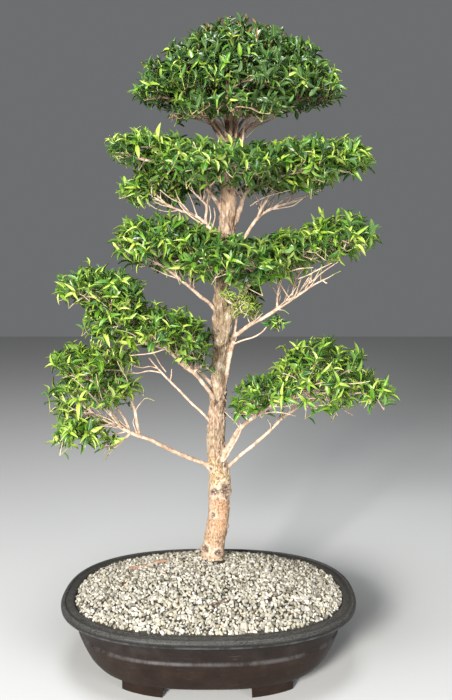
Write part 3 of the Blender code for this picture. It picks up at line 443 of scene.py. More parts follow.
# each pad of leaves: its CAD node, the limbs that carry it, ellipsoids (px, py, y, rx px, rz px, ry m), shoots, share of young leaves,
# length of a leaf, shortest and longest shoot, looks of its older leaves
PADS = {
    "leaves_crown": (["crown_left", "crown_left_back", "crown_right", "crown_right_back", "crown_up_left", "crown_up_right", "crown_front"],
                     [(239, 93, .035, 109, 15, .118), (239, 76, .036, 100, 20, .110), (241, 57, .038, 78, 21, .090),
                      (242, 42, .040, 56, 17, .065), (228, 31, .042, 30, 12, .038), (233, 106, -.045, 62, 12, .055), (177, 116, .01, 13, 10, .030)], 860, 0.36, .0167, .013, .025, (0, 3)),
    "leaves_second_tier": (["second_left_low", "second_left_fork", "second_left", "second_right", "second_right_low", "second_right_fork",
                            "second_front", "second_back"],
                           [(146, 149, .02, 42, 17, .080), (190, 160, .02, 42, 18, .105), (122, 154, .01, 18, 10, .04),
                            (300, 165, .02, 50, 25, .110), (346, 160, .02, 29, 20, .075), (262, 165, .03, 42, 20, .105),
                            (226, 164, -.04, 58, 20, .085), (236, 168, .02, 60, 22, .10), (168, 175, .07, 34, 15, .06),
                            (160, 189, .12, 44, 17, .065), (205, 182, .14, 44, 16, .07), (268, 180, .14, 46, 16, .065)], 640, 0.58, .0186, .015, .031, (1, 8)),
    "leaves_third_tier": (["side_stem", "fork_front", "right_mid", "right_mid_up", "right_mid_fork", "third_left", "third_back", "third_front", "third_right"],
                          [(160, 243, .02, 50, 29, .09), (190, 251, .03, 36, 28, .11), (130, 243, .01, 20, 14, .05),
                           (340, 238, .02, 42, 25, .085), (305, 250, .03, 42, 22, .10), (266, 261, .03, 34, 23, .10),
                           (232, 263, -.04, 52, 25, .07), (232, 262, 0, 56, 26, .08),
                           (200, 262, .13, 50, 22, .065), (262, 262, .13, 50, 22, .065), (254, 296, .085, 13, 20, .028)], 540, 0.54, .0197, .016, .034, (1, 8)),
    "leaves_left_upper": (["left_main", "left_second", "left_upright", "left_thin"],
                          [(100, 290, 0, 46, 22, .085), (118, 318, 0, 36, 27, .10), (158, 332, .01, 40, 24, .105), (190, 342, .02, 26, 26, .085), (203, 364, .01, 13, 9, .030)],
                          290, 0.66, .0189, .018, .036, (1, 8)),
    "leaves_left_lower": (["left_low", "left_low_up", "left_low_mid", "left_low_mid_right"],
                          [(90, 364, .02, 44, 23, .085), (88, 395, .01, 46, 25, .095), (79, 430, 0, 34, 21, .065), (108, 442, .01, 16, 10, .035),
                           (124, 385, .02, 18, 23, .06), (72, 410, .01, 25, 13, .055), (108, 350, .02, 22, 12, .05), (124, 360, .02, 20, 12, .045)],
                          144, 0.72, .0198, .021, .042, (2, 9)),
    "leaves_right_lower": (["right_main", "right_low"],
                           [(320, 370, .01, 52, 31, .105), (300, 391, .01, 60, 23, .11), (360, 388, .02, 37, 20, .08), (254, 403, .02, 29, 20, .065)],
                           204, 0.68, .0188, .018, .038, (1, 9)),
    "inner_tuft": (["fork_front", "side_stem", "right_mid"], [(240, 303, .006, 19, 18, .016), (226, 297, .002, 12, 10, .010), (252, 309, .04, 13, 14, .020)],
                   32, 1.0, .0130, .012, .026, (9, 11)),
    "leaves_side_twig": (["right_twig"], [(276, 323, .04, 13, 8, .016)], 9, 0.5, .0150, .010, .018, (1, 7)),
}


OPEN = {  # places where a pad is thin and its twigs show: (px, py, rx, ry, share of the shoots that stays)
    "leaves_crown": [(238, 118, 24, 9, .30), (197, 105, 13, 13, .42), (264, 112, 15, 8, .50), (212, 112, 12, 8, .5)],
    "leaves_second_tier": [(230, 152, 9, 14, .15), (229, 180, 17, 18, .10), (176, 197, 34, 13, .50), (268, 195, 14, 10, .35), (318, 190, 26, 8, .5), (250, 150, 10, 8, .6)],
    "leaves_third_tier": [(217, 280, 8, 14, .15), (223, 238, 6, 9, .5), (316, 262, 34, 15, .38), (345, 262, 22, 10, .35), (130, 262, 18, 8, .5), (165, 272, 22, 8, .3),
                          (250, 240, 12, 8, .5)],
    "leaves_left_upper": [(188, 348, 26, 16, .42), (150, 352, 25, 8, .5), (165, 300, 12, 10, .6), (206, 330, 8, 20, .5)],
    "leaves_left_lower": [(118, 412, 20, 14, .15), (95, 404, 12, 9, .45), (130, 370, 14, 8, .5)],
    "leaves_right_lower": [(262, 408, 18, 10, .45), (318, 402, 34, 9, .5), (285, 372, 12, 8, .6)],
}


def seen_at(P):
    """Picture positions of points (n, 3)."""
    v = P - np.array(VIEW)
    depth = v[:, 1] * COS - v[:, 2] * SIN
    return np.stack([VIEW_CX + VIEW_F * v[:, 0] / depth, VIEW_CY - VIEW_F * (v[:, 1] * SIN + v[:, 2] * COS) / depth], 1)


def limb_points(pts):
    P = np.array([at(px, py, y) for px, py, y, _ in pts])
    R = np.array([p[3] / 1000 for p in pts])
    return P, R


def wobble(P, R, amount, seed):
    """Gives a smooth limb the small bends of a real one."""
    out = P.copy()
    n = len(P)
    for i in range(1, n - 1):
        s = Vector(P[i]) * 28 + Vector((seed, 0, 0))
        out[i] += np.array([noise.noise(s), noise.noise(s + Vector((7, 3, 1))), noise.noise(s + Vector((1, 9, 5)))]) * R[i] * amount
    return out


limbs = {}  # name: (points, radii) at a fine step
P, R = catmull(*limb_points(TRUNK), 6)
limbs["trunk"] = (wobble(P, R, 0.10, 3), R)
SLIM = {"crown": 0.69, "second": 0.84, "left_main": 0.80, "right_mid": 0.92, "left_low": 1.0, "fork_front": 1.0, "side_stem": 0.95}
for k, (name, pts) in enumerate(BRANCHES.items()):
    P, R = catmull(*limb_points(pts), 7)
    R = R * next((f for part, f in SLIM.items() if name.startswith(part)), 0.92)
    u = np.linspace(0, 1, len(R))
    taper = 1 - 0.25 * np.clip((u - 0.6) / 0.4, 0, 1) ** 1.5
    limbs[name] = (wobble(P, R, 1.0, 11 * k), R * taper * (1 + 0.06 * np.sin(np.arange(len(R)) * 1.7 + k)))

# ---------------------------------------------------------------------------- ramification: one set of twigs for each pad
def pad_shapes(blobs):
    C = np.array([at(px, py, y) for px, py, y, *_ in blobs])
    S = np.array([(px_size(y, rx), ry, px_size(y, rz)) for _, _, y, rx, rz, ry in blobs])
    return C, S


def shoot_points(blobs, wanted, r, spacing, shortest, longest, gaps=()):
    """Shoots spread through the outer part of the pad, fewer on its underside: feet, directions, lengths and outward directions."""
    C, S = pad_shapes(blobs)
    S = np.maximum(S - np.array([0.0095, 0.0095, 0.0075]), S * 0.45)  # the last leaves reach past the shoots
    area = (S[:, 0] * S[:, 1]) + (S[:, 0] * S[:, 2]) + (S[:, 1] * S[:, 2])
    found, outs = np.empty((0, 3)), np.empty((0, 3))
    tries = 0
    while len(found) < wanted and tries < 80:
        tries += 1
        m = 400
        b = r.choice(len(C), m, p=area / area.sum())
        d = r.normal(size=(m, 3))
        d /= np.linalg.norm(d, axis=1)[:, None]
        s = 1 - 0.45 * r.random(m) ** 2.0
        p = C[b] + d * S[b] * s[:, None]
        g = d / S[b]
        g /= np.linalg.norm(g, axis=1)[:, None]
        deep = np.array([((np.abs((p - C[j]) / S[j]) ** 2).sum(1) < 0.45) & (b != j) for j in range(len(C))]).any(0)
        low = ((g[:, 2] < -0.45) & (r.random(m) < 0.50)) | ((g[:, 2] < -0.85) & (r.random(m) < 0.60))
        picture = seen_at(p)
        chance = np.ones(m)
        for gx_, gy_, rx, ry, share in gaps:
            chance[((picture[:, 0] - gx_) / rx) ** 2 + ((picture[:, 1] - gy_) / ry) ** 2 < 1] = share
        deep |= r.random(m) > chance
        for q, n in zip(p[~deep & ~low], g[~deep & ~low]):
            if len(found) and (((found - q) ** 2).sum(1) < spacing**2).any():
                continue
            found = np.vstack([found, q])
            outs = np.vstack([outs, n])
            if len(found) >= wanted:
                break
        spacing *= 0.985
    n = len(found)
    flat = outs.copy()
    flat[:, 2] = np.where(flat[:, 2] < 0, flat[:, 2] * 0.35, flat[:, 2])
    D = flat * 0.75 + np.array([0, 0, 0.26]) + r.normal(size=(n, 3)) * 0.32
    D /= np.linalg.norm(D, axis=1)[:, None]
    L = shortest + (longest - shortest) * r.random(n) ** 1.3
    return found - D * L[:, None], D, L, outs


def grow(pad, r):
    """Joins the shoots of a pad to its limbs by short, forward-growing twigs. Returns nodes, parents, radii and the shoots."""
    names, blobs, wanted, _, _, shortest, longest, _ = PADS[pad]
    C, S = pad_shapes(blobs)
    pos, par, rad, way, length = [], [], [], [], []
    for name in names:
        P, R = limbs[name]
        first = len(pos)
        for i in range(0, len(P)):
            inside = (np.abs((P[i] - C) / (S + 0.012)) ** 2).sum(1).min() < 1.35
            if not inside and i < len(P) * 0.45:
                continue
            if (i % 2) and i != len(P) - 1:
                continue
            pos.append(P[i])
            par.append(-1)
            rad.append(R[i])
            a, b = max(0, i - 2), min(len(P) - 1, i + 2)
            d = P[b] - P[a]
            way.append(d / np.linalg.norm(d))
            length.append(0.012 * (1 - i / len(P)) * 3)
    skeleton = len(pos)
    pts, dirs, reaches, outs = shoot_points(blobs, wanted, r, 0.0135, shortest, longest, OPEN.get(pad, ()))
    inner = []
    n_inner = int(wanted * 0.55)
    while len(inner) < n_inner:
        j = r.integers(len(C))
        d = r.normal(size=3)
        d /= np.linalg.norm(d)
        d[2] = d[2] * 0.6 - 0.3
        inner.append(C[j] + d * S[j] * (r.random() ** (1 / 3)) * 0.72)
    inner = np.array(inner)
    A = np.vstack([pts, inner])
    n = len(A)
    pos, way, length = np.array(pos), np.array(way), np.array(length)
    best = np.full(n, np.inf)
    parent = np.full(n, -1)

    def cost(q, d, l, targets):
        v = targets - q
        dist = np.linalg.norm(v, axis=1)
        c = (v @ d) / (dist + 1e-9)
        return dist * (1 + 0.55 * (1 - c)) + 0.22 * l

    for k in range(skeleton):
        c = cost(pos[k], way[k], length[k], A)
        better = c < best
        best[better] = c[better]
        parent[better] = k
    alive = np.ones(n, bool)
    order = np.full(n, -1)
    P_all, W_all, L_all, parents = list(pos), list(way), list(length), [-1] * skeleton
    for _ in range(n):
        masked = np.where(alive, best, np.inf)
        j = int(masked.argmin())
        alive[j] = False
        k = parent[j]
        v = A[j] - P_all[k]
        dist = np.linalg.norm(v)
        d = v / (dist + 1e-9)
        d = d * 0.75 + W_all[k] * 0.25
        d /= np.linalg.norm(d) + 1e-9
        order[j] = len(P_all)
        P_all.append(A[j])
        W_all.append(d)
        L_all.append(L_all[k] + dist)
        parents.append(k)
        c = cost(A[j], d, L_all[-1], A)
        better = alive & (c < best)
        best[better] = c[better]
        parent[better] = order[j]
    pos = np.array(P_all)
    parents = np.array(parents)
    total = len(pos)
    kids = [[] for _ in range(total)]
    for i in range(skeleton, total):
        kids[parents[i]].append(i)
    # smooth the joints so that twigs run on instead of zigzagging
    for _ in range(2):
        moved = pos.copy()
        for i in range(skeleton, total):
            if kids[i]:
                mid = 0.5 * pos[parents[i]] + 0.5 * pos[kids[i]].mean(0)
                moved[i] = pos[i] * 0.6 + mid * 0.4
        pos = moved
    # thickness: every twig carries those beyond it
    tip_radius = 0.00066 if pad in ("leaves_crown", "leaves_second_tier") else 0.00078
    power = np.zeros(total)
    for i in range(total - 1, skeleton - 1, -1):
        if not kids[i]:
            power[i] = tip_radius**2.3
        if parents[i] >= 0:
            power[parents[i]] += power[i]
    radius = power ** (1 / 2.3)
    radius[:skeleton] = rad
    shoots = [(order[j], dirs[j], reaches[j], outs[j]) for j in range(len(pts))]
    return pos, parents, kids, radius, skeleton, shoots


def chains(parents, kids, radius, skeleton):
    """Splits the twigs into runs: at each fork the thickest goes on and the others start anew."""
    runs = []
    stack = [(k, c) for k in range(skeleton) for c in kids[k]]
    while stack:
        start, c = stack.pop()
        run = [start, c]
        while kids[c]:
            ks = sorted(kids[c], key=lambda q: -radius[q])
            for other in ks[1:]:
                stack.append((c, other))
            c = ks[0]
            run.append(c)
        runs.append(run)
    return runs


# ---------------------------------------------------------------------------- leaves
GRID = 12  # the leaves' map is a board of cells, one for each look; upper faces use its lower half
FULL = [(0.13, 0.23), (0.37, 0.465), (0.64, 0.47), (0.87, 0.27)]  # stations of a leaf: along, half width
PLAIN = [(0.20, 0.31), (0.52, 0.50), (0.82, 0.33)]  # the same for the leaves at the foot of a shoot


def leaf_template(stations, fold, rise, droop):
    """Vertices along +X, face up +Z, length 1 and width 1 across, with its faces and their places on the map."""
    verts = [(-0.10, 0, 0)]
    bend = lambda x: rise * x - droop * x * x  # noqa: E731
    for x, w in stations:
        z = bend(x)
        verts += [(x, w, z + fold * w * 0.62), (x, 0, z), (x, -w, z + fold * w * 0.62), (x, 0, z - 0.024)]
    verts.append((1.0, 0, bend(1.0) + 0.01))
    n, tip = len(stations), 1 + 4 * len(stations)
    tris, where = [], []  # faces, and the map places of their corners with whether each is an underside

    def place(i):
        if i == 0:
            return (0.03, 0.5)
        if i == tip:
            return (0.97, 0.5)
        st, k = divmod(i - 1, 4)
        x, w = stations[st]
        return (x, 0.5 + (w if k == 0 else -w if k == 2 else 0) * 0.92)

    def face(a, b, c, under):
        tris.append((a, b, c))
        where.append(([place(a), place(b), place(c)], under))

    def spot(k, st):
        return 1 + k + 4 * st

    L, M, R_, U = 0, 1, 2, 3
    face(0, spot(M, 0), spot(L, 0), False)
    face(0, spot(R_, 0), spot(M, 0), False)
    face(0, spot(L, 0), spot(U, 0), True)
    face(0, spot(U, 0), spot(R_, 0), True)
    for st in range(n - 1):
        face(spot(M, st), spot(M, st + 1), spot(L, st + 1), False)
        face(spot(M, st), spot(L, st + 1), spot(L, st), False)
        face(spot(R_, st), spot(R_, st + 1), spot(M, st + 1), False)
        face(spot(R_, st), spot(M, st + 1), spot(M, st), False)
        face(spot(U, st), spot(L, st + 1), spot(U, st + 1), True)
        face(spot(U, st), spot(L, st), spot(L, st + 1), True)
        face(spot(R_, st), spot(U, st + 1), spot(R_, st + 1), True)
        face(spot(R_, st), spot(U, st), spot(U, st + 1), True)
    face(spot(M, n - 1), tip, spot(L, n - 1), False)
    face(spot(R_, n - 1), tip, spot(M, n - 1), False)
    face(spot(U, n - 1), spot(L, n - 1), tip, True)
    face(spot(U, n - 1), tip, spot(R_, n - 1), True)
    return np.array(verts, float), np.array(tris), where


BENDS = [(0.35, 0.20, 0.42), (0.50, 0.30, 0.66), (0.25, 0.10, 0.18), (0.60, 0.22, 0.50), (0.40, 0.05, 0.30), (0.55, 0.45, 0.98), (0.30, -0.05, 0.10), (0.65, 0.52, 1.15)]
FLAT_BENDS, ARCHED_BENDS = [0, 1, 2, 3, 4, 6], [1, 3, 5, 7, 5, 7]
TEMPLATES = {True: [leaf_template(FULL, *q) for q in BENDS], False: [leaf_template(PLAIN, *q) for q in BENDS]}


def frames(D, N):
    """Rotation matrices with columns along D, sideways, and up near N."""
    D = D / (np.linalg.norm(D, axis=1)[:, None] + 1e-12)
    N = N - D * (N * D).sum(1)[:, None]
    N /= np.linalg.norm(N, axis=1)[:, None] + 1e-12
    B = np.cross(N, D)
    return np.stack([D, B, N], 2)


def leaves_object(name, base, D, N, length, width, look, kind, full):
    """One mesh of closed leaves. look is the cell column (0 oldest), kind the template, full whether it has all stations."""
    M = frames(D, N)
    all_v, all_t, all_uv, sharp_ids, count = [], [], [], [], 0
    cell = 1.0 / GRID
    for complete in (True, False):
        kit = TEMPLATES[complete]
        chosen = full == complete
        m = int(chosen.sum())
        if not m:
            continue
        nv, nt_ = len(kit[0][0]), len(kit[0][1])
        verts = np.empty((m, nv, 3))
        Mc, Lc, Wc, Kc, Bc = M[chosen], length[chosen], width[chosen], kind[chosen], base[chosen]
        for t, (tv, _, _) in enumerate(kit):
            pick = Kc == t
            local = tv[None] * np.stack([Lc[pick], Wc[pick], Lc[pick]], 1)[:, None, :]
            verts[pick] = np.einsum("nij,nvj->nvi", Mc[pick], local) + Bc[pick][:, None, :]
        all_v.append(verts.reshape(-1, 3))
        all_t.append((kit[0][1][None] + (count + np.arange(m) * nv)[:, None, None]).reshape(-1, 3))
        where = np.array([w[0] for w in kit[0][2]])
        under = np.array([w[1] for w in kit[0][2]])
        lk = look[chosen]
        row = (np.arange(m) * 7 + lk * 3) % (GRID // 2)
        uv = np.empty((m, nt_, 3, 2))
        inner = 0.04 + 0.92 * where
        uv[..., 0] = (lk[:, None, None] + inner[None, :, :, 0]) * cell
        uv[..., 1] = (row[:, None, None] + np.where(under, GRID // 2, 0)[None, :, None] + inner[None, :, :, 1]) * cell
        all_uv.append(uv.reshape(-1))
        local_id = np.tile(np.arange(nv), m)
        rim = (local_id == 0) | (local_id == nv - 1) | ((local_id - 1) % 4 == 0) | ((local_id - 1) % 4 == 2)
        sharp_ids.append(rim)
        count += m * nv
    ob = mesh_object(name, np.concatenate(all_v), tris=np.concatenate(all_t))
    me = ob.data
    me.uv_layers.new(name="OFBake").uv.foreach_set("vector", np.concatenate(all_uv).astype(np.float32))
    # the rim between upper and lower face stays crisp
    rim = np.concatenate(sharp_ids)
    edges = np.empty(len(me.edges) * 2, np.int32)
    me.edges.foreach_get("vertices", edges)
    sharp = rim[edges.reshape(-1, 2)].all(1)
    me.attributes.new("sharp_edge", "BOOLEAN", "EDGE").data.foreach_set("value", sharp)
    return ob


twigs = Pile()
leaf_sets = {}
UP = np.array([0, 0, 1.0])
CROWN_TOP = at(240, 24, Y)
for number, pad in enumerate(PADS):
    r = np.random.default_rng(500 + number)
    young_share = PADS[pad][3]
    pos, parents, kids, radius, skeleton, shoots = grow(pad, r)
    for run in chains(parents, kids, radius, skeleton):
        P = pos[run]
        R = radius[run].copy()
        R[0] = min(R[0] * 0.8, R[1] * 1.25)
        R = np.maximum(R, 0.00052)
        fine = R[0] < 0.0012
        Q, RR = catmull(P, R, 2 if (len(P) < 5 or not fine) else 1)
        if len(P) == 2 and fine:
            Q, RR = P, R
        sides = 3 if RR[0] < 0.0012 else (4 if RR[0] < 0.0019 else (5 if RR[0] < 0.0026 else 7))
        sweep(twigs, Q, RR, sides, 0.7, r.random() * 6, extra=RR * 1000)
    base, D, N, length, width, look, kind, full = [], [], [], [], [], [], [], []
    leaf_length, (old_low, old_high) = PADS[pad][4], PADS[pad][7]
    for k, d, reach, out in shoots:
        p0 = pos[k]
        bend = UP * (0.22 * reach) * r.normal(loc=0.3)
        curve = [p0, p0 + d * reach * 0.5, p0 + d * reach + bend]
        mid = 0.25 * curve[0] + 0.5 * curve[1] + 0.25 * curve[2]
        sweep(twigs, [curve[0], mid, curve[2]], [0.00072, 0.00060, 0.00044], 3, 0.5, r.random() * 6, extra=[0.3, 0.2, 0.1])
        x = np.cross(d, UP + r.normal(size=3) * 0.2)
        x /= np.linalg.norm(x) + 1e-9
        z = np.cross(x, d)
        spin = r.random() * math.pi
        stages = 3 if reach < 0.017 else (4 if reach < 0.026 else 5)
        apart = min(1.0, abs(float(seen_at(p0[None])[0, 0]) - 228) / 105)
        brim = (1.55 if seen_at(p0[None])[0, 1] > 66 else 0.80) if pad == "leaves_crown" else 1.0  # more new growth round the foot of the crown
        is_young = r.random() < young_share * (1.25 if out[2] < 0.30 else 0.75) * (0.62 + 0.62 * apart) * brim
        tone_old, tone_young = r.integers(old_low, max(old_low + 1, old_high - (2 if apart < 0.5 else 0))), r.integers(4, 7) if pad == "leaves_crown" else r.integers(6, 10)
        bronze = pad == "leaves_crown" and np.linalg.norm(p0 - np.array(CROWN_TOP)) < 0.092 and r.random() < 0.80
        big = 1 + 0.09 * r.normal()
        airy = pad in ("leaves_third_tier", "leaves_left_upper", "leaves_left_lower", "leaves_right_lower", "inner_tuft")
        for st in range(stages):
            t = ((st + 0.55) / stages) ** (0.72 if airy else 1.0)
            at_p = (1 - t) ** 2 * curve[0] + 2 * t * (1 - t) * curve[1] + t * t * curve[2]
            last = st == stages - 1
            young = is_young and st >= stages - 2
            for half in (0, 1):
                if st == 0 and r.random() < (0.75 if airy else 0.30):
                    continue
                if airy and st == 1 and stages > 3 and r.random() < 0.40:
                    continue
                if not last and r.random() < 0.07:
                    continue
                a = spin + st * math.pi / 2 + half * math.pi + r.normal() * 0.25
                radial = x * math.cos(a) + z * math.sin(a)
                lean = (1.22 - 0.55 * t) + r.normal() * 0.17  # how far the leaf stands off its shoot
                if last:
                    lean *= 0.70
                direction = d * math.cos(lean) + radial * math.sin(lean) + UP * (0.08 if pad == "leaves_crown" else 0.17) + r.normal(size=3) * 0.12
                n0 = d * math.sin(lean) - radial * math.cos(lean)  # the upper face looks toward the shoot's tip
                normal = n0 * 0.70 + UP * 0.66 + out * 0.40 + r.normal(size=3) * 0.38
                size = leaf_length * big * (1 + 0.11 * r.normal()) * (0.68 + 0.27 * r.random() if last else (0.86 if st == 0 else 1.0))
                tipped = bronze and last
                size = min(max(size * (0.78 if tipped else 1.0), 0.0085), 0.0236)
                base.append(at_p)
                D.append(direction)
                N.append(normal)
                length.append(size)
                width.append(size * min(max((0.42 if pad == "leaves_crown" else 0.37) + 0.045 * r.normal(), 0.28), 0.52) * (0.62 if last and young else 0.76 if young or last else 1.0) * (0.52 if pad == "inner_tuft" else 1.0))
                if tipped:
                    look.append(11)
                elif pad == "inner_tuft":
                    look.append(r.integers(9, 11))
                elif last and is_young:
                    look.append(r.integers(7, 10) if pad == "leaves_crown" else r.integers(8, 11))
                elif young:
                    look.append(min(10, max(0, tone_young + r.integers(-2, 2))))
                elif last:
                    look.append(min(8, max(0, tone_old + r.integers(0, 4))))
                else:
                    look.append(min(8, max(0, tone_old + r.integers(-1, 2))) if st == 0 or r.random() < (0.92 if pad == "leaves_crown" else 0.85) else r.integers(4, 8))
                kind.append(ARCHED_BENDS[r.integers(6)] if (young and r.random() < 0.85) else FLAT_BENDS[r.integers(6)])
                full.append(st >= stages - 2)
    leaf_sets[pad] = leaves_object(pad.replace("leaves_", "leaf_spray_"), np.array(base), np.array(D), np.array(N), np.array(length),
                                   np.array(width), np.array(look), np.array(kind), np.array(full))


# ---------------------------------------------------------------------------- trunk and branches
solid = Pile()
trunk_P, trunk_R = limbs["trunk"]
keep = trunk_P[:, 2] > 0.085
sweep(solid, trunk_P[keep], trunk_R[keep] * 0.985, 40)
# root flare: shallow ridges that run down into the gravel
flare = at(212.3, 556, Y)
for k, (a, reach, size) in enumerate(((200, .016, 7.5), (262, .024, 8.5), (318, .028, 8), (20, .028, 7.5), (95, .026, 8), (150, .024, 7))):
    d = Vector((math.cos(math.radians(a)), math.sin(math.radians(a)), 0))
    pts = [flare + Vector((0, 0, .014)) + d * .006, flare + Vector((0, 0, .001)) + d * .012, flare + Vector((0, 0, -.012)) + d * reach * .8,
           flare + Vector((0, 0, -.03)) + d * reach * 1.2]
    P, R = catmull([tuple(p) for p in pts], [size * .9e-3, size * 1.05e-3, size * .9e-3, size * .6e-3], 4)
    sweep(solid, P, R, 12)
THIN = 0.0029
for name in BRANCHES:
    P, R = limbs[name]
    thick = int(np.argmax(R < THIN)) if (R < THIN).any() else len(R)
    thick = max(thick, 4)
    sweep(solid, P[:thick + 1], R[:thick + 1] * 0.97, 14)
    if thick < len(R):
        sweep(twigs, P[thick - 2:], R[thick - 2:] * np.concatenate([[0.8, 0.95], np.ones(len(R) - thick)]), 9, 0.7, extra=R[thick - 2:] * 1000)
for k, strand in enumerate(STRANDS):
    P, R = catmull(*limb_points(strand), 6)
    sweep(twigs, wobble(P, R, 1.3, 31 * k), R, 6 if R[0] > 0.0014 else 5, 0.7, extra=R * 1000)
BRUSH = [  # limb, from and to along it, number of fine bare twigs
    ("second_left_low", .35, 1, 15), ("second_left_fork", .3, 1, 8), ("second_left", .3, .7, 5), ("second_right_low", .4, 1, 10), ("second_right_fork", .3, 1, 6),
    ("second_right", .3, .7, 5), ("right_mid", .45, 1, 13), ("right_mid_up", .3, 1, 6), ("right_mid_fork", .3, 1, 8), ("third_left", .35, .85, 9),
    ("left_low", .6, 1, 9), ("left_low_up", .5, 1, 4), ("left_low_mid", .4, 1, 4), ("left_main", .28, .8, 14), ("left_second", .3, .9, 12), ("left_upright", .3, 1, 4),
    ("right_main", .45, 1, 15), ("right_low", .45, 1, 13), ("crown_left", .3, 1, 6), ("crown_right", .3, 1, 8), ("crown_left_back", .4, 1, 4), ("crown_right_back", .4, 1, 4),
]
r = np.random.default_rng(4711)
for name, start, stop, number in BRUSH:
    P, R = limbs[name]
    for k in range(number):
        i = int((start + (stop - start) * (k + r.random()) / number) * (len(P) - 1))
        way = P[min(i + 2, len(P) - 1)] - P[max(i - 2, 0)]
        way /= np.linalg.norm(way) + 1e-12
        out = way * 0.75 + np.array([0, 0, 0.48]) + r.normal(size=3) * (0.34, 0.50, 0.20)
        out /= np.linalg.norm(out)
        reach = 0.022 + 0.034 * r.random()
        first = min(R[i] * 0.55, 0.0012)
        Q = [P[i]]
        for _ in range(4):
            out = out + r.normal(size=3) * 0.17 + np.array([0, 0, 0.05])
            out /= np.linalg.norm(out)
            Q.append(Q[-1] + out * reach / 4)
        Q, RR = catmull(Q, [first * 1.15, first, first * 0.82, first * 0.64, 0.00045], 2)
        sweep(twigs, Q, RR, 4, 0.7, r.random() * 6, extra=RR * 1000)
wood = pile_object("wood", solid)
twig_ob = pile_object("twigs", twigs)
twig_ob.data.attributes.new("thick", "FLOAT", "POINT").data.foreach_set("value", np.concatenate(twigs.extra))
burrs = Pile()
for k, (px, py, y, size) in enumerate(BURRS):
    bm = bmesh.new()
    bmesh.ops.create_icosphere(bm, subdivisions=2, radius=size / 1000, matrix=Matrix.Translation(at(px, py, y)) @ Matrix.Rotation(0.7 * k, 4, "Z"))
    v = np.array([x.co[:] for x in bm.verts])
    f = np.array([[x.index for x in q.verts] for q in bm.faces])
    burrs.add(v, None, f)
    bm.free()
burr_ob = pile_object("burrs", burrs)
bpy.ops.object.select_all(action="DESELECT")
burr_ob.select_set(True)
wood.select_set(True)
bpy.context.view_layer.objects.active = wood
bpy.ops.object.join()
remesh = wood.modifiers.new("merge", "REMESH")
remesh.mode = "VOXEL"
remesh.voxel_size = 0.00143
relax = wood.modifiers.new("relax", "SMOOTH")
relax.factor, relax.iterations = 0.5, 2
settle(wood)

tree = kdtree.KDTree(sum(len(P) for P, _ in limbs.values()))
owner = []
for name, (P, R) in limbs.items():
    for p, rr in zip(P, R):
        tree.insert(Vector(p), len(owner))
        owner.append((name == "trunk", rr, Vector(p), name in ("trunk", "fork_front", "side_stem_bridge")))
tree.balance()

me = wood.data
co = np.empty(len(me.vertices) * 3)
me.vertices.foreach_get("co", co)
co = co.reshape(-1, 3)
no = np.empty(len(me.vertices) * 3)
me.vertices.foreach_get("normal", no)
no = no.reshape(-1, 3)
knots = []
bpy.context.view_layer.update()
for px, py, size, depth in KNOTS:
    ray = (at(px, py, 0) - VIEW).normalized()
    hit, place, _, _ = wood.ray_cast(VIEW, ray)
    if hit:
        knots.append((place, px_size(place.y - ORIGIN.y, size), depth))
barkness, height, scar, dark = np.zeros(len(co)), np.zeros(len(co)), np.zeros(len(co)), np.zeros(len(co))
for i, (c, n) in enumerate(zip(co, no)):
    v = Vector(c)
    found = tree.find_n(v, 8)
    best = min(found, key=lambda f: f[2] - owner[f[1]][1])
    trunk_d = min([f[2] - owner[f[1]][1] for f in found if owner[f[1]][0]] or [0.02])
    _, rr, _, barky = owner[best[1]]
    barky_d = min([f[2] - owner[f[1]][1] for f in found if owner[f[1]][3]] or [0.02])
    b = 1.0 if barky else max(0.0, 1 - (barky_d - (best[2] - rr)) / 0.006)
    limb_d = min([f[2] - owner[f[1]][1] for f in found if not owner[f[1]][0]] or [0.02])
    # painted shade: darkening where a limb meets the trunk
    crease_shade = math.exp(-(trunk_d / 0.0017) ** 2 - (limb_d / 0.0017) ** 2)
    barkness[i] = b
    z = v.z
    low = min(1, max(0, (0.300 - z) / 0.03))  # 1 on the smooth lower trunk
    q = Vector((v.x * 120, v.y * 120, v.z * 30))
    fissure = max(0.0, 1 - abs(noise.noise(q)) * 5.5)
    crack = max(0.0, 1 - abs(noise.noise(Vector((v.x * 240, v.y * 240, v.z * 75)) + Vector((4, 7, 2)))) * 4.5)
    plates = noise.noise(Vector((v.x * 230, v.y * 230, v.z * 80)) + Vector((5, 2, 9)))
    lumps = noise.noise(v * 46)
    pits = noise.noise(v * 150 + Vector((3, 8, 1)))
    rough = (0.0005 - 0.0017 * fissure - 0.0007 * crack + 0.00075 * plates) * (1 - 0.93 * low) + 0.0011 * lumps * (0.7 + 0.5 * low) + 0.0005 * pits * low
    smooth = 0.00022 * noise.noise(v * 170) + 0.0003 * noise.noise(v * 60)
    h = rough * b + smooth * (1 - b)
    # darker fissures and cracks, partly the bark's own colour and partly painted shade; painted shade in the creases at
    # limb joints and in the cracks under the crown
    dark[i] = min(1.0, b * (1 - low) * (0.66 * fissure**1.5 + 0.28 * crack**1.5) + 0.55 * crease_shade * (1 - low) + (0.45 * crack if z > 0.80 else 0))
    for place, size, depth in knots:
        d = (v - place).length / size
        if d < 2.6:
            d *= 1 + 0.38 * noise.noise(v * 130) + 0.22 * noise.noise(v * 330)
            h += depth * (0.0011 * math.exp(-((d - 1.0) / 0.32) ** 2) - 0.0013 * math.exp(-(d / 0.6) ** 2)) + depth * 0.0008 * math.exp(-(d / 1.3) ** 4) * noise.noise(v * 260)
            scar[i] = max(scar[i], min(1.0, depth) * math.exp(-(d / 0.95) ** 4))
            height[i] = max(height[i], min(1.0, depth) * 0.42 * math.exp(-((d - 1.2) / 0.25) ** 2))
    co[i] = c + n * h
me.vertices.foreach_set("co", co.ravel().astype(np.float32))
for label, values in (("bark", barkness), ("crevice_and_shade", dark), ("scar", scar), ("rim", height)):
    me.attributes.new(label, "FLOAT", "POINT").data.foreach_set("value", values.astype(np.float32))
me.update()
me.shade_smooth()
bpy.context.view_layer.update()

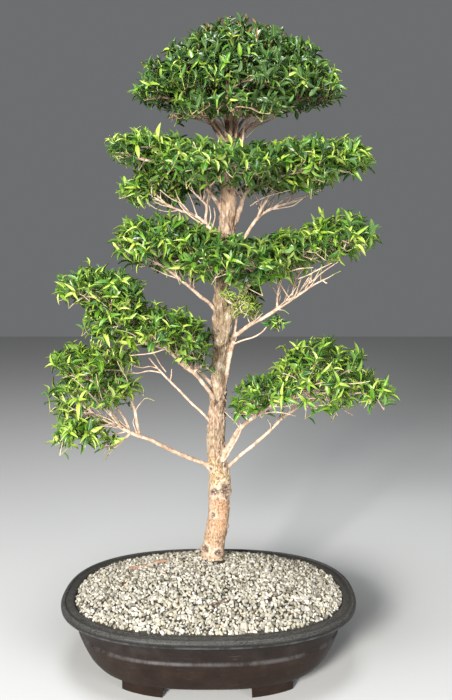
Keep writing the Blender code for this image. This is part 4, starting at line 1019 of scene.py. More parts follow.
# thin curled flakes of bark that stand off the trunk
flakes = Pile()
r = np.random.default_rng(77)
me.calc_loop_triangles()
tri = np.empty(len(me.loop_triangles) * 3, np.int32)
me.loop_triangles.foreach_get("vertices", tri)
tri = tri.reshape(-1, 3)
a, b_, c = co[tri[:, 0]], co[tri[:, 1]], co[tri[:, 2]]
cross = np.cross(b_ - a, c - a)
area = np.linalg.norm(cross, axis=1) / 2
centre = (a + b_ + c) / 3
chance = area * (barkness[tri].mean(1) > 0.6) * np.where(centre[:, 2] > 0.30, 1.0, np.where(centre[:, 2] > 0.265, 0.45, 0.10))
chosen = r.choice(len(tri), 900, p=chance / chance.sum())
along = np.array([np.array(limbs["trunk"][0])[min(len(limbs["trunk"][0]) - 1, k + 1)] - np.array(limbs["trunk"][0])[max(0, k - 1)] for k in range(len(limbs["trunk"][0]))])
heights = limbs["trunk"][0][:, 2]
for t in chosen:
    n = cross[t] / (np.linalg.norm(cross[t]) + 1e-12)
    if abs(n[2]) > 0.75:
        continue
    way = along[int(np.abs(heights - centre[t][2]).argmin())]
    way = way / np.linalg.norm(way) + r.normal(size=3) * 0.10
    way = way - n * way.dot(n)
    way /= np.linalg.norm(way) + 1e-12
    side = np.cross(n, way)
    long_, wide = (0.0045 + 0.0085 * r.random() ** 1.5), (0.0009 + 0.0013 * r.random())
    thick = 0.00028 + 0.0002 * r.random()
    lift = r.random() ** 2 * 0.0011
    flip = 1 if r.random() < 0.6 else -1
    verts = []
    for k, u in enumerate((-1, -0.35, 0.35, 1)):
        w = wide * (0.22, 1.0, 0.80, 0.15)[k] * (1 + 0.22 * r.normal())
        rise = 0.0002 + lift * (0.5 + 0.5 * u * flip) ** 2
        for v in (-1, 1):
            p = centre[t] + way * u * long_ / 2 + side * v * w / 2 + n * (rise - 0.00025 * abs(v))
            verts += [p + n * thick, p - n * 0.0006]
    quads = []
    for k in range(3):
        o = 4 * k  # each station: left top, left low, right top, right low
        quads += [(o, o + 2, o + 6, o + 4), (o + 1, o + 5, o + 7, o + 3), (o, o + 4, o + 5, o + 1), (o + 2, o + 3, o + 7, o + 6)]
    quads += [(0, 1, 3, 2), (12, 14, 15, 13)]
    flakes.add(verts, np.array(quads), extra=np.full(16, r.random()))
flake_ob = pile_object("bark_flakes", flakes, smooth=False)
flake_ob.data.attributes.new("shade", "FLOAT", "POINT").data.foreach_set("value", np.concatenate(flakes.extra))

# ---------------------------------------------------------------------------- gravel
WA, WB, WN = 0.2071, 0.1500, 2.42
MOUND_TOP, MOUND_EDGE = 0.136, 0.0995
CX, CY = 0.005, 0.0375


def mound(x, y):
    """Height of the gravel, x and y from the pot's centre (arrays)."""
    x, y = np.asarray(x, float), np.asarray(y, float)
    low, high = np.zeros_like(x), np.ones_like(x)
    for _ in range(24):
        s = (low + high) / 2
        ox, oy = CX * (1 - s), CY * (1 - s)
        out = (np.abs(x - ox) / (WA * s + 1e-9)) ** WN + (np.abs(y - oy) / (WB * s + 1e-9)) ** WN > 1
        low = np.where(out, s, low)
        high = np.where(out, high, s)
    s = (low + high) / 2
    edge = MOUND_EDGE + 0.0035 * np.maximum(0, -y / WB)
    return edge + (MOUND_TOP - edge) * (1 - np.minimum(s, 1) ** 1.75) ** 1.15


def on_gravel(px, py):
    y = -0.14
    while y < 0.14:
        p = at(px, py, y)
        if p.z <= float(mound(p.x - ORIGIN.x, p.y - ORIGIN.y)):
            return p
        y += 0.0005
    return at(px, py, 0.14)


phi = (1 + 5**0.5) / 2
ICO = np.array([(-1, phi, 0), (1, phi, 0), (-1, -phi, 0), (1, -phi, 0), (0, -1, phi), (0, 1, phi), (0, -1, -phi), (0, 1, -phi),
                (phi, 0, -1), (phi, 0, 1), (-phi, 0, -1), (-phi, 0, 1)]) / math.hypot(1, phi)
ICO_F = np.array([(0, 11, 5), (0, 5, 1), (0, 1, 7), (0, 7, 10), (0, 10, 11), (1, 5, 9), (5, 11, 4), (11, 10, 2), (10, 7, 6), (7, 1, 8),
                  (3, 9, 4), (3, 4, 2), (3, 2, 6), (3, 6, 8), (3, 8, 9), (4, 9, 5), (2, 4, 11), (6, 2, 10), (8, 6, 7), (9, 8, 1)])
step = 0.00465
gx, gy = [], []
rows = int(2 * WB / (step * 0.866)) + 2
for j in range(rows):
    yy = -WB + j * step * 0.866
    xs = np.arange(-WA, WA, step) + (step / 2 if j % 2 else 0)
    gx.append(xs)
    gy.append(np.full(len(xs), yy))
gx, gy = np.concatenate(gx), np.concatenate(gy)
gx = gx + rng.normal(size=len(gx)) * step * 0.22
gy = gy + rng.normal(size=len(gy)) * step * 0.22
inside = (np.abs(gx) / (WA - 0.0012)) ** WN + (np.abs(gy) / (WB - 0.0012)) ** WN < 1
gx, gy = gx[inside], gy[inside]
gz = mound(gx, gy)
base_trunk = at(212.3, 556, Y) - ORIGIN
away = np.hypot(gx - base_trunk.x, gy - base_trunk.y) > 0.0155
# painted shadow: grains left out beside the trunk foot so the dark fines show there
shade_gap = on_gravel(218, 562.5) - ORIGIN
away &= np.hypot((gx - shade_gap.x) / 0.0115, (gy - shade_gap.y) / 0.0075) > 1
away &= rng.random(len(gx)) > 0.045
gx, gy, gz = gx[away], gy[away], gz[away]
size = 0.5 * (0.0037 + 0.0030 * rng.random(len(gx)) ** 1.6 + 0.0014 * (rng.random(len(gx)) < 0.06))
gz = gz + rng.normal(size=len(gz)) * 0.0007 + size * 0.50
SPECIAL = [  # stones that stand out: (px, py, radius mm, tint 0 to 1)
    (244, 628, 6.6, .62), (267, 630, 4.6, .75), (217, 584, 5.2, .35), (305, 603, 4.6, .98), (182, 606, 4.4, .6), (131, 603, 4.3, .5),
    (286, 617, 4.4, .55), (158, 622, 4.4, .7), (232, 598, 4.2, .45), (205, 615, 4.4, .8), (322, 596, 4.0, .9), (113, 588, 4.0, .85),
]
sx, sy, sz, ss, tint = [], [], [], [], []
for px, py, mm, tn in SPECIAL:
    p = on_gravel(px, py) - ORIGIN
    sx.append(p.x), sy.append(p.y), sz.append(p.z + mm * 0.0003), ss.append(mm / 1000), tint.append(tn)
n_plain = len(gx)
gx, gy, gz, size = (np.concatenate([u, np.array(w)]) for u, w in ((gx, sx), (gy, sy), (gz, sz), (size, ss)))
n = len(gx)
shape = ICO[None] * (1 + 0.24 * rng.normal(size=(n, 12, 1)).clip(-1.5, 1.5))
shape = shape * np.stack([1.05 + 0.30 * rng.random(n), 0.78 + 0.22 * rng.random(n), 0.60 + 0.22 * rng.random(n)], 1)[:, None, :]
q = rng.normal(size=(n, 4))
q /= np.linalg.norm(q, axis=1)[:, None]
w_, x_, y_, z_ = q.T
rot = np.stack([np.stack([1 - 2 * (y_**2 + z_**2), 2 * (x_ * y_ - z_ * w_), 2 * (x_ * z_ + y_ * w_)], 1),
                np.stack([2 * (x_ * y_ + z_ * w_), 1 - 2 * (x_**2 + z_**2), 2 * (y_ * z_ - x_ * w_)], 1),
                np.stack([2 * (x_ * z_ - y_ * w_), 2 * (y_ * z_ + x_ * w_), 1 - 2 * (x_**2 + y_**2)], 1)], 1)
stone_v = np.einsum("nij,nvj->nvi", rot, shape) * size[:, None, None] * 1.08
stone_v += np.stack([gx + ORIGIN.x, gy + ORIGIN.y, gz], 1)[:, None, :]
stone_f = ICO_F[None] + (np.arange(n) * 12)[:, None, None]
gravel = mesh_object("gravel_grains", stone_v.reshape(-1, 3), tris=stone_f.reshape(-1, 3), smooth=False)
STONES = 16
looks = rng.integers(0, STONES * STONES, n)
looks[n_plain:] = [int(t * (STONES - 1)) + STONES * (k % STONES) for k, t in enumerate(tint)]
u0, v0 = (looks % STONES) / STONES, (looks // STONES) / STONES
corner = np.array([[0.08, 0.08], [0.92, 0.12], [0.5, 0.92]]) / STONES
flip = rng.integers(0, 3, (n, 20))
uv = np.empty((n, 20, 3, 2))
for k in range(3):
    uv[:, :, k, :] = corner[(k + flip) % 3]
uv[..., 0] += u0[:, None, None]
uv[..., 1] += v0[:, None, None]
gravel.data.uv_layers.new(name="OFBake").uv.foreach_set("vector", uv.reshape(-1).astype(np.float32))

# ---------------------------------------------------------------------------- litter on the gravel
def flake_strip(px, py, length, width, turn, seed, thick=0.0012, lift=0.0022, arch=0.0024):
    """A curled strip of shed bark lying on the grains."""
    c = on_gravel(px, py) - ORIGIN
    nu, nv = 34, 9
    u, v = np.meshgrid(np.linspace(0, 1, nu), np.linspace(-1, 1, nv), indexing="ij")
    edge = np.array([[1 + 0.25 * noise.noise(Vector((a * 6 + seed, b * 2, 0))) for b in (-1, 1)] for a in np.linspace(0, 1, nu)])
    half = width / 2 * (0.25 + 0.75 * np.sin(np.pi * (0.06 + 0.88 * u)) ** 0.6) * np.where(v < 0, edge[:, :1], edge[:, 1:])
    bend = 0.006 * np.sin(2.6 * u + 0.4)
    lx, ly = (u - 0.5) * length, v * half + bend
    x = c.x + lx * math.cos(turn) - ly * math.sin(turn)
    y = c.y + lx * math.sin(turn) + ly * math.cos(turn)
    z = mound(x, y) + lift + arch * (1 - v * v) + 0.0010 * np.sin(7 * u + seed)
    rough = np.array([[noise.noise(Vector((a * 40, b * 14, seed))) * 0.0005 for b in np.linspace(0, 1, nv)] for a in np.linspace(0, 1, nu)])
    top = np.stack([x + ORIGIN.x, y + ORIGIN.y, z + thick / 2 + rough], -1).reshape(-1, 3)
    low = np.stack([x + ORIGIN.x, y + ORIGIN.y, z - thick / 2 + rough], -1).reshape(-1, 3)
    verts = np.concatenate([top, low])
    m = nu * nv
    i, j = np.meshgrid(np.arange(nu - 1), np.arange(nv - 1), indexing="ij")
    a = (i * nv + j).ravel()
    quads = [np.stack([a, a + nv, a + nv + 1, a + 1], 1), np.stack([a + m, a + m + 1, a + m + nv + 1, a + m + nv], 1)]
    i = np.arange(nu - 1) * nv
    quads += [np.stack([i, i + m, i + nv + m, i + nv], 1), np.stack([i + nv - 1, i + 2 * nv - 1, i + 2 * nv - 1 + m, i + nv - 1 + m], 1)]
    j = np.arange(nv - 1)
    e = (nu - 1) * nv + j
    quads += [np.stack([j, j + 1, j + 1 + m, j + m], 1), np.stack([e, e + m, e + 1 + m, e + 1], 1)]
    return verts, np.concatenate(quads)


v, q = flake_strip(149, 567, 0.066, 0.0095, 0.10, 2.0)
flake = mesh_object("bark_strip", v, quads=q)
litter = Pile()
v, q = flake_strip(124.5, 586, 0.0085, 0.0060, 0.5, 6.0, 0.0016, 0.0028, 0.0008)
litter.add(v, q)
pts = []
for k, (px, py) in enumerate(((204, 606.5), (212, 607.2), (221, 605.3), (229, 603), (238, 601.2))):
    p = on_gravel(px, py)
    pts.append((p.x, p.y, p.z + 0.0030 + 0.0006 * (k % 2)))
P, R = catmull(pts, [0.0006, 0.0008, 0.0008, 0.0007, 0.0005], 5)
sweep(litter, P, R, 6)
chips = pile_object("litter", litter)

# ---------------------------------------------------------------------------- pot
POT_SIDES = 176
a_, b_ = 0.457 / 2, 0.342 / 2
ba, bb = 0.163, 0.1295
FOOT = 0.0125
RIM_N, BASE_N, LIP = 2.42, 2.75, 0.0195
profile = [  # z, half length, half width, exponent, radius of the edge in mm
    (FOOT, ba - 0.030, bb - 0.030, BASE_N, 0), (FOOT, ba, bb, BASE_N, 4), (FOOT + 0.006, ba + 0.0125, bb + 0.0090, 2.70, 3), (0.0290, 0.1865, 0.1440, 2.62, 6),
    (0.0450, 0.1956, 0.1491, 2.54, 4), (0.0610, 0.2028, 0.1538, 2.47, 1.0), (0.0638, 0.2004, 0.1516, 2.46, 0.9),
    (0.0805, 0.2050, 0.1547, 2.44, 4), (0.0975, 0.2100, 0.1580, 2.42, 1.2), (0.0985, 0.2240, 0.1665, RIM_N, 1), (0.0935, 0.2245, 0.1670, RIM_N, 0.5),
    (0.0932, 0.2272, 0.1692, RIM_N, 0.7), (0.0948, 0.2279, 0.1703, RIM_N, 0.4), (0.1004, a_, b_, RIM_N, 2.0), (0.1039, a_ - 0.0030, b_ - 0.0030, RIM_N, 1.8),
    (0.1039, a_ - 0.0062, b_ - 0.0062, RIM_N, 0.8), (0.1020, a_ - 0.0078, b_ - 0.0078, RIM_N, 0.9), (0.1024, a_ - 0.0105, b_ - 0.0105, RIM_N, 1.2),
    (0.1034, a_ - LIP + 0.0035, b_ - LIP + 0.0035, RIM_N, 1.6), (0.1022, a_ - LIP - 0.0006, b_ - LIP - 0.0006, RIM_N, 0.8), (0.0990, a_ - LIP - 0.0014, b_ - LIP - 0.0014, RIM_N, 1),
    (0.0640, 0.1960, 0.1475, 2.48, 3), (0.0290, 0.1820, 0.1395, 2.62, 6), (0.0205, ba + 0.006, bb + 0.004, 2.70, 3), (FOOT + 0.0045, ba - 0.006, bb - 0.006, BASE_N, 0),
]
prof = np.array(profile)
rings = [prof[0, :4]]
for k in range(1, len(prof) - 1):  # every edge is moulded with a small radius
    p, before, after = prof[k, :4], prof[k - 1, :4], prof[k + 1, :4]
    r = prof[k, 4] / 1000
    db, da = np.linalg.norm((p - before)[:2]), np.linalg.norm((after - p)[:2])
    A = p + (before - p) * min(0.45, r / db)
    B = p + (after - p) * min(0.45, r / da)
    for t in ((0.0, 0.5, 1.0) if r < 0.003 else (0.0, 0.33, 0.67, 1.0)):
        rings.append((1 - t) ** 2 * A + 2 * t * (1 - t) * p + t * t * B)
rings.append(prof[-1, :4])
rings = np.array(rings)
t = 2 * np.pi * np.arange(POT_SIDES) / POT_SIDES
pot_v = []
for z, ra, rb, rn in rings:
    c, s = np.cos(t), np.sin(t)
    pot_v.append(np.stack([np.sign(c) * np.abs(c) ** (2 / rn) * ra + ORIGIN.x, np.sign(s) * np.abs(s) ** (2 / rn) * rb + ORIGIN.y, np.full(POT_SIDES, z)], 1))
nr = len(rings)
pot_v = np.concatenate(pot_v + [[[ORIGIN.x, ORIGIN.y, rings[0][0]]], [[ORIGIN.x, ORIGIN.y, rings[-1][0]]]])
i, k = np.meshgrid(np.arange(nr - 1), np.arange(POT_SIDES), indexing="ij")
k2 = (k + 1) % POT_SIDES
pot_q = np.stack([i * POT_SIDES + k, i * POT_SIDES + k2, (i + 1) * POT_SIDES + k2, (i + 1) * POT_SIDES + k], -1).reshape(-1, 4)
k = np.arange(POT_SIDES)
k2 = (k + 1) % POT_SIDES
pot_t = np.concatenate([np.stack([k2, k, np.full(POT_SIDES, nr * POT_SIDES)], 1),
                        np.stack([(nr - 1) * POT_SIDES + k, (nr - 1) * POT_SIDES + k2, np.full(POT_SIDES, nr * POT_SIDES + 1)], 1)])
pot_ob = mesh_object("oval_pot", pot_v, pot_q, pot_t)


def tool(name, verts, faces):
    me = bpy.data.meshes.new(name)
    me.from_pydata([tuple(v) for v in verts], [], faces)
    ob = bpy.data.objects.new(name, me)
    bpy.context.scene.collection.objects.link(ob)
    bm = bmesh.new()
    bm.from_mesh(me)
    bmesh.ops.recalc_face_normals(bm, faces=bm.faces)
    bm.to_mesh(me)
    bm.free()
    return ob


def cut(ob, other, operation):
    m = ob.modifiers.new("cut", "BOOLEAN")
    m.operation, m.solver, m.object = operation, "EXACT", other
    settle(ob)
    bpy.data.objects.remove(other)


for sx_ in (-1, 1):
    for sy_ in (-1, 1):
        outer, inner = [], []
        steps = 14
        for i in range(steps + 1):
            x = 0.0635 + (0.1235 - 0.0635) * i / steps
            oa, ob_ = ba + 0.0025, bb + 0.0025
            ia, ib = ba - 0.021, bb - 0.021
            outer.append((x, ob_ * (1 - (x / oa) ** BASE_N) ** (1 / BASE_N)))
            inner.append((x, ib * (1 - (x / ia) ** BASE_N) ** (1 / BASE_N)))
        ring = [(sx_ * x, sy_ * y) for x, y in outer + inner[::-1]]
        mid = np.mean(ring, axis=0)
        m = len(ring)
        levels = [(0.0, 0.0012), (0.0009, 0.0), (FOOT + 0.0022, 0.0)]
        verts, faces = [], []
        for z, inset in levels:
            for x, y in ring:
                d = np.array([x, y]) - mid
                d = d / np.linalg.norm(d) * inset
                verts.append((x - d[0] + ORIGIN.x, y - d[1] + ORIGIN.y, z))
        for l in range(len(levels) - 1):
            for i in range(m):
                j = (i + 1) % m
                faces.append((l * m + i, l * m + j, (l + 1) * m + j, (l + 1) * m + i))
        for i in range(steps):
            j = m - 2 - i
            faces.append((i, i + 1, j, j + 1))
            top = (len(levels) - 1) * m
            faces.append((top + i, top + i + 1, top + j, top + j + 1))
        cut(pot_ob, tool("foot", verts, faces), "UNION")
for x in (-0.075, 0.075):
    for hx, hy, hr, sides in ((x, 0, 0.014, 40), (x * 0.75, -0.045, 0.0028, 16), (x * 0.75, 0.045, 0.0028, 16)):
        bm = bmesh.new()
        bmesh.ops.create_cone(bm, cap_ends=True, segments=sides, radius1=hr, radius2=hr, depth=0.02,
                              matrix=Matrix.Translation((hx + ORIGIN.x, hy + ORIGIN.y, FOOT + 0.002)) @ Matrix.Rotation(0.11, 4, "Z"))
        me = bpy.data.meshes.new("drill")
        bm.to_mesh(me)
        bm.free()
        ob = bpy.data.objects.new("drill", me)
        bpy.context.scene.collection.objects.link(ob)
        cut(pot_ob, ob, "DIFFERENCE")
pot_ob.data.shade_smooth()
pot_ob.data.set_sharp_from_angle(angle=math.radians(38))

# ---------------------------------------------------------------------------- materials
# leaves: everything is read from the map, so that each look is the same wherever it is used
leaf_m, nt, p = new_material("leaf")
uvn = node(nt, "ShaderNodeUVMap", uv_map="OFBake").outputs["UV"]
sep = nt.nodes.new("ShaderNodeSeparateXYZ")
link(nt, uvn, sep.inputs[0])
U = maths(nt, "MULTIPLY", sep.outputs[0], float(GRID))
V = maths(nt, "MULTIPLY", sep.outputs[1], float(GRID))
cu, cv = maths(nt, "FLOOR", U), maths(nt, "FLOOR", V)
lu, lv = maths(nt, "FRACT", U), maths(nt, "FRACT", V)
cell_v = nt.nodes.new("ShaderNodeCombineXYZ")
link(nt, cu, cell_v.inputs[0])
link(nt, cv, cell_v.inputs[1])
wn = node(nt, "ShaderNodeTexWhiteNoise", noise_dimensions="2D")
link(nt, cell_v.outputs[0], wn.inputs["Vector"])
rand = wn.outputs["Value"]
under = maths(nt, "GREATER_THAN", cv, GRID / 2 - 0.5)
age = maths(nt, "DIVIDE", cu, GRID - 1.0)
age = maths(nt, "ADD", age, maths(nt, "MULTIPLY", maths(nt, "SUBTRACT", rand, 0.5), 0.16), clamp=True)
top = ramp(nt, age, [(0.0, (0.005, 0.036, 0.010)), (0.22, (0.012, 0.078, 0.011)), (0.45, (0.050, 0.205, 0.007)),
                     (0.66, (0.205, 0.385, 0.016)), (0.84, (0.440, 0.570, 0.070)), (1.0, (0.570, 0.650, 0.150))])
bronze_on = maths(nt, "GREATER_THAN", cu, 10.5)
along = noise_tex(nt, uvn, 34.0, 3.0, 0.6)
top = mix(nt, maths(nt, "MULTIPLY", along, 0.25), top, (0.010, 0.045, 0.012), "MIX")
rib = maths(nt, "ABSOLUTE", maths(nt, "SUBTRACT", lv, 0.5))
rib_on = maths(nt, "LESS_THAN", rib, 0.035)
top = mix(nt, maths(nt, "MULTIPLY", rib_on, 0.65), top, (0.36, 0.46, 0.12))
# the edge is a little paler than the blade
reach_w = maths(nt, "ADD", maths(nt, "MULTIPLY", maths(nt, "MULTIPLY", lu, maths(nt, "SUBTRACT", 1.0, lu)), 1.80), 0.02)
edge_on = maths(nt, "MULTIPLY", maths(nt, "SUBTRACT", maths(nt, "DIVIDE", rib, reach_w), 0.66), 3.2, clamp=True)
top = mix(nt, maths(nt, "MULTIPLY", edge_on, 0.38), top, (0.29, 0.43, 0.05))
tip = maths(nt, "MULTIPLY", maths(nt, "SUBTRACT", lu, 0.55), 0.8, clamp=True)
top = mix(nt, tip, top, (0.16, 0.26, 0.05))
low = mix(nt, 0.50, top, (0.090, 0.190, 0.045))
colour = mix(nt, under, top, low)
colour = mix(nt, maths(nt, "MULTIPLY", bronze_on, 0.85), colour, (0.19, 0.088, 0.036))
link(nt, colour, p.inputs["Base Color"])
link(nt, maths(nt, "ADD", maths(nt, "MULTIPLY", under, 0.25), maths(nt, "ADD", 0.29, maths(nt, "MULTIPLY", rand, 0.13))), p.inputs["Roughness"])
p.inputs["Specular IOR Level"].default_value = 0.62

BARE_X = float(at(226.5, 210, Y).x)


# bark of trunk and branches: fine upright flakes above, mottled smooth bark below, plain bark on the limbs
def bark_look(nt, oc):
    sepz = nt.nodes.new("ShaderNodeSeparateXYZ")
    link(nt, oc, sepz.inputs[0])
    z = sepz.outputs[2]
    tall = stretched(nt, oc, (1, 1, 0.26))
    fine = noise_tex(nt, tall, 430, 5, 0.7)
    mid = noise_tex(nt, tall, 120, 4, 0.6)
    fleck = noise_tex(nt, stretched(nt, oc, (1, 1, 0.70)), 430, 5, 0.80)
    side = maths(nt, "ADD", maths(nt, "MULTIPLY", sepz.outputs[0], 14.0), maths(nt, "MULTIPLY", noise_tex(nt, oc, 16, 2, 0.5), 1.0))
    blotch = noise_tex(nt, oc, 75, 4, 0.6)
    patch = noise_tex(nt, oc, 30, 3, 0.5)
    upper = ramp(nt, fine, [(0.33, (0.085, 0.050, 0.031)), (0.44, (0.28, 0.175, 0.112)), (0.55, (0.42, 0.295, 0.20)), (0.66, (0.59, 0.455, 0.335)), (0.77, (0.83, 0.75, 0.62))])
    upper = mix(nt, ramp(nt, mid, [(0.40, (0.55, 0.55, 0.55)), (0.52, (0, 0, 0))]), upper, (0.33, 0.20, 0.13))
    upper = mix(nt, ramp(nt, blotch, [(0.54, (0, 0, 0)), (0.66, (0.6, 0.6, 0.6))]), upper, (0.66, 0.57, 0.45))
    upper = mix(nt, ramp(nt, patch, [(0.36, (0.45, 0.45, 0.45)), (0.48, (0, 0, 0))]), upper, (0.27, 0.235, 0.125))
    # rugged grey and green bark around the fork
    rugged = ramp(nt, maths(nt, "ADD", z, maths(nt, "MULTIPLY", maths(nt, "SUBTRACT", patch, 0.5), 0.05)), [(0.425, (0, 0, 0)), (0.455, (1, 1, 1)), (0.560, (1, 1, 1)), (0.590, (0, 0, 0))])
    coarse = ramp(nt, blotch, [(0.38, (0.15, 0.105, 0.065)), (0.47, (0.30, 0.225, 0.135)), (0.56, (0.40, 0.335, 0.215)), (0.66, (0.72, 0.66, 0.54))])
    upper = mix(nt, maths(nt, "MULTIPLY", rugged, 0.50), upper, coarse)
    lower = ramp(nt, fleck, [(0.375, (0.050, 0.028, 0.020)), (0.435, (0.22, 0.120, 0.070)), (0.485, (0.455, 0.290, 0.180)), (0.60, (0.565, 0.400, 0.270)), (0.70, (0.83, 0.735, 0.590))])
    lower = mix(nt, ramp(nt, blotch, [(0.52, (0, 0, 0)), (0.66, (0.4, 0.4, 0.4))]), lower, (0.70, 0.61, 0.50))
    lower = mix(nt, ramp(nt, patch, [(0.48, (0, 0, 0)), (0.74, (0.40, 0.40, 0.40))]), lower, (0.58, 0.32, 0.18))
    # a band of lichen and old scars between the two barks
    band = ramp(nt, maths(nt, "ADD", z, maths(nt, "MULTIPLY", maths(nt, "SUBTRACT", patch, 0.5), 0.06)), [(0.240, (0, 0, 0)), (0.258, (0.8, 0.8, 0.8)), (0.300, (0.8, 0.8, 0.8)), (0.318, (0, 0, 0))])
    mossy = ramp(nt, fleck, [(0.38, (0.050, 0.032, 0.022)), (0.45, (0.24, 0.165, 0.075)), (0.52, (0.56, 0.38, 0.20)), (0.60, (0.66, 0.57, 0.40)), (0.68, (0.90, 0.87, 0.76))])
    low_mask = ramp(nt, maths(nt, "ADD", z, maths(nt, "MULTIPLY", maths(nt, "SUBTRACT", blotch, 0.5), 0.08)), [(0.270, (1, 1, 1)), (0.310, (0, 0, 0))])
    # where the old bark has peeled between the second and third tiers the wood is smooth and peach
    bare = ramp(nt, maths(nt, "ADD", z, maths(nt, "MULTIPLY", maths(nt, "SUBTRACT", patch, 0.5), 0.04)), [(0.690, (0, 0, 0)), (0.712, (1, 1, 1)), (0.775, (1, 1, 1)), (0.800, (0, 0, 0))])
    right = maths(nt, "ADD", maths(nt, "MULTIPLY", maths(nt, "SUBTRACT", sepz.outputs[0], BARE_X), 130.0), maths(nt, "MULTIPLY", mid, 1.6), clamp=True)
    peach = ramp(nt, fine, [(0.34, (0.30, 0.16, 0.09)), (0.46, (0.66, 0.44, 0.29)), (0.62, (0.84, 0.64, 0.47)), (0.78, (0.94, 0.84, 0.70))])
    upper = mix(nt, maths(nt, "MULTIPLY", bare, right), upper, peach)
    lower = mix(nt, ramp(nt, side, [(0.30, (0, 0, 0)), (0.62, (0.45, 0.45, 0.45))]), lower, mix(nt, 1.0, lower, (0.98, 0.78, 0.60), "MULTIPLY"))
    bark = mix(nt, band, mix(nt, low_mask, upper, lower), mossy)
    crown_shade = ramp(nt, z, [(0.780, (1, 1, 1)), (0.840, (0.60, 0.54, 0.50))])  # painted shade: darker bark under the crown
    return mix(nt, 1.0, bark, crown_shade, "MULTIPLY"), fine, mid


bark_m, nt, p = new_material("bark")
oc = object_coords(nt)
trunk_c, fine, mid = bark_look(nt, oc)
branch_n = noise_tex(nt, oc, 110, 4, 0.6)
branch_c = ramp(nt, branch_n, [(0.30, (0.28, 0.170, 0.112)), (0.48, (0.52, 0.37, 0.262)), (0.68, (0.78, 0.635, 0.50))])
branch_c = mix(nt, ramp(nt, fine, [(0.36, (0.5, 0.5, 0.5)), (0.46, (0, 0, 0))]), branch_c, (0.34, 0.22, 0.15))
sepz = nt.nodes.new("ShaderNodeSeparateXYZ")
link(nt, oc, sepz.inputs[0])
# painted shade: the limbs darken under the crown
branch_c = mix(nt, 1.0, branch_c, ramp(nt, sepz.outputs[2], [(0.780, (1, 1, 1)), (0.840, (0.66, 0.58, 0.52))]), "MULTIPLY")
col = mix(nt, attribute(nt, "bark"), branch_c, trunk_c)
# fissures and cracks darken, partly bark colour and partly painted shade; painted shade in limb creases and under the
# crown
col = mix(nt, attribute(nt, "crevice_and_shade"), col, (0.10, 0.060, 0.038))
col = mix(nt, maths(nt, "MULTIPLY", attribute(nt, "rim"), 0.9, clamp=True), col, (0.93, 0.84, 0.68))
scar_c = ramp(nt, noise_tex(nt, oc, 520, 5, 0.80), [(0.42, (0.025, 0.015, 0.011)), (0.50, (0.11, 0.070, 0.052)), (0.57, (0.27, 0.19, 0.150)), (0.64, (0.80, 0.72, 0.64))])
col = mix(nt, attribute(nt, "scar"), col, scar_c)
link(nt, col, p.inputs["Base Color"])
p.inputs["Roughness"].default_value = 0.88
p.inputs["Specular IOR Level"].default_value = 0.3
h = maths(nt, "ADD", maths(nt, "MULTIPLY", fine, 0.6), maths(nt, "MULTIPLY", mid, 0.4))
link(nt, bump(nt, h, 0.7, 0.0012), p.inputs["Normal"])

flakes_m, nt, p = new_material("bark_flakes")
oc = object_coords(nt)
trunk_c, fine, mid = bark_look(nt, oc)
shade = ramp(nt, attribute(nt, "shade"), [(0.0, (0.20, 0.125, 0.080)), (0.4, (0.44, 0.31, 0.215)), (0.8, (0.62, 0.49, 0.37)), (1.0, (0.84, 0.75, 0.63))])
link(nt, mix(nt, 0.42, trunk_c, shade), p.inputs["Base Color"])
p.inputs["Roughness"].default_value = 0.9
p.inputs["Specular IOR Level"].default_value = 0.25

twig_m, nt, p = new_material("twig")
oc = object_coords(nt)
thick = attribute(nt, "thick")
n1 = noise_tex(nt, oc, 120, 4, 0.6)
base_c = ramp(nt, n1, [(0.30, (0.36, 0.23, 0.16)), (0.50, (0.60, 0.44, 0.33)), (0.72, (0.82, 0.68, 0.54))])
green = mix(nt, n1, (0.20, 0.28, 0.04), (0.50, 0.52, 0.14))
sepz = nt.nodes.new("ShaderNodeSeparateXYZ")
link(nt, oc, sepz.inputs[0])
# painted shade: twigs darken under the crown and fade into its shade
base_c = mix(nt, 1.0, base_c, ramp(nt, sepz.outputs[2], [(0.780, (1, 1, 1)), (0.830, (0.60, 0.52, 0.46)), (0.870, (0.26, 0.22, 0.18))]), "MULTIPLY")
col = mix(nt, ramp(nt, thick, [(0.46, (0, 0, 0)), (0.74, (1, 1, 1))]), green, base_c)
link(nt, col, p.inputs["Base Color"])
p.inputs["Roughness"].default_value = 0.8
link(nt, bump(nt, n1, 0.4, 0.0006), p.inputs["Normal"])

# gravel: tint by cell, speckle inside it
stone_m, nt, p = new_material("pumice")
uvn = node(nt, "ShaderNodeUVMap", uv_map="OFBake").outputs["UV"]
sep = nt.nodes.new("ShaderNodeSeparateXYZ")
link(nt, uvn, sep.inputs[0])
cu = maths(nt, "FLOOR", maths(nt, "MULTIPLY", sep.outputs[0], float(STONES)))
cv = maths(nt, "FLOOR", maths(nt, "MULTIPLY", sep.outputs[1], float(STONES)))
cell_v = nt.nodes.new("ShaderNodeCombineXYZ")
link(nt, cu, cell_v.inputs[0])
link(nt, cv, cell_v.inputs[1])
wn = node(nt, "ShaderNodeTexWhiteNoise", noise_dimensions="2D")
link(nt, cell_v.outputs[0], wn.inputs["Vector"])
light = maths(nt, "DIVIDE", cu, STONES - 1.0)
tone = ramp(nt, light, [(0.0, (0.17, 0.155, 0.125)), (0.22, (0.35, 0.33, 0.27)), (0.55, (0.51, 0.485, 0.41)), (0.85, (0.62, 0.595, 0.53)), (1.0, (0.80, 0.78, 0.72))])
warm = ramp(nt, wn.outputs["Value"], [(0.0, (0.80, 0.78, 0.76)), (0.5, (1, 1, 1)), (0.85, (1.0, 0.94, 0.84)), (1.0, (0.90, 0.80, 0.66))])
tone = mix(nt, 1.0, tone, warm, "MULTIPLY")
speck = noise_tex(nt, uvn, 150, 5, 0.7)
tone = mix(nt, ramp(nt, speck, [(0.36, (1, 1, 1)), (0.48, (0, 0, 0))]), tone, (0.24, 0.22, 0.18))
link(nt, tone, p.inputs["Base Color"])
p.inputs["Roughness"].default_value = 0.95

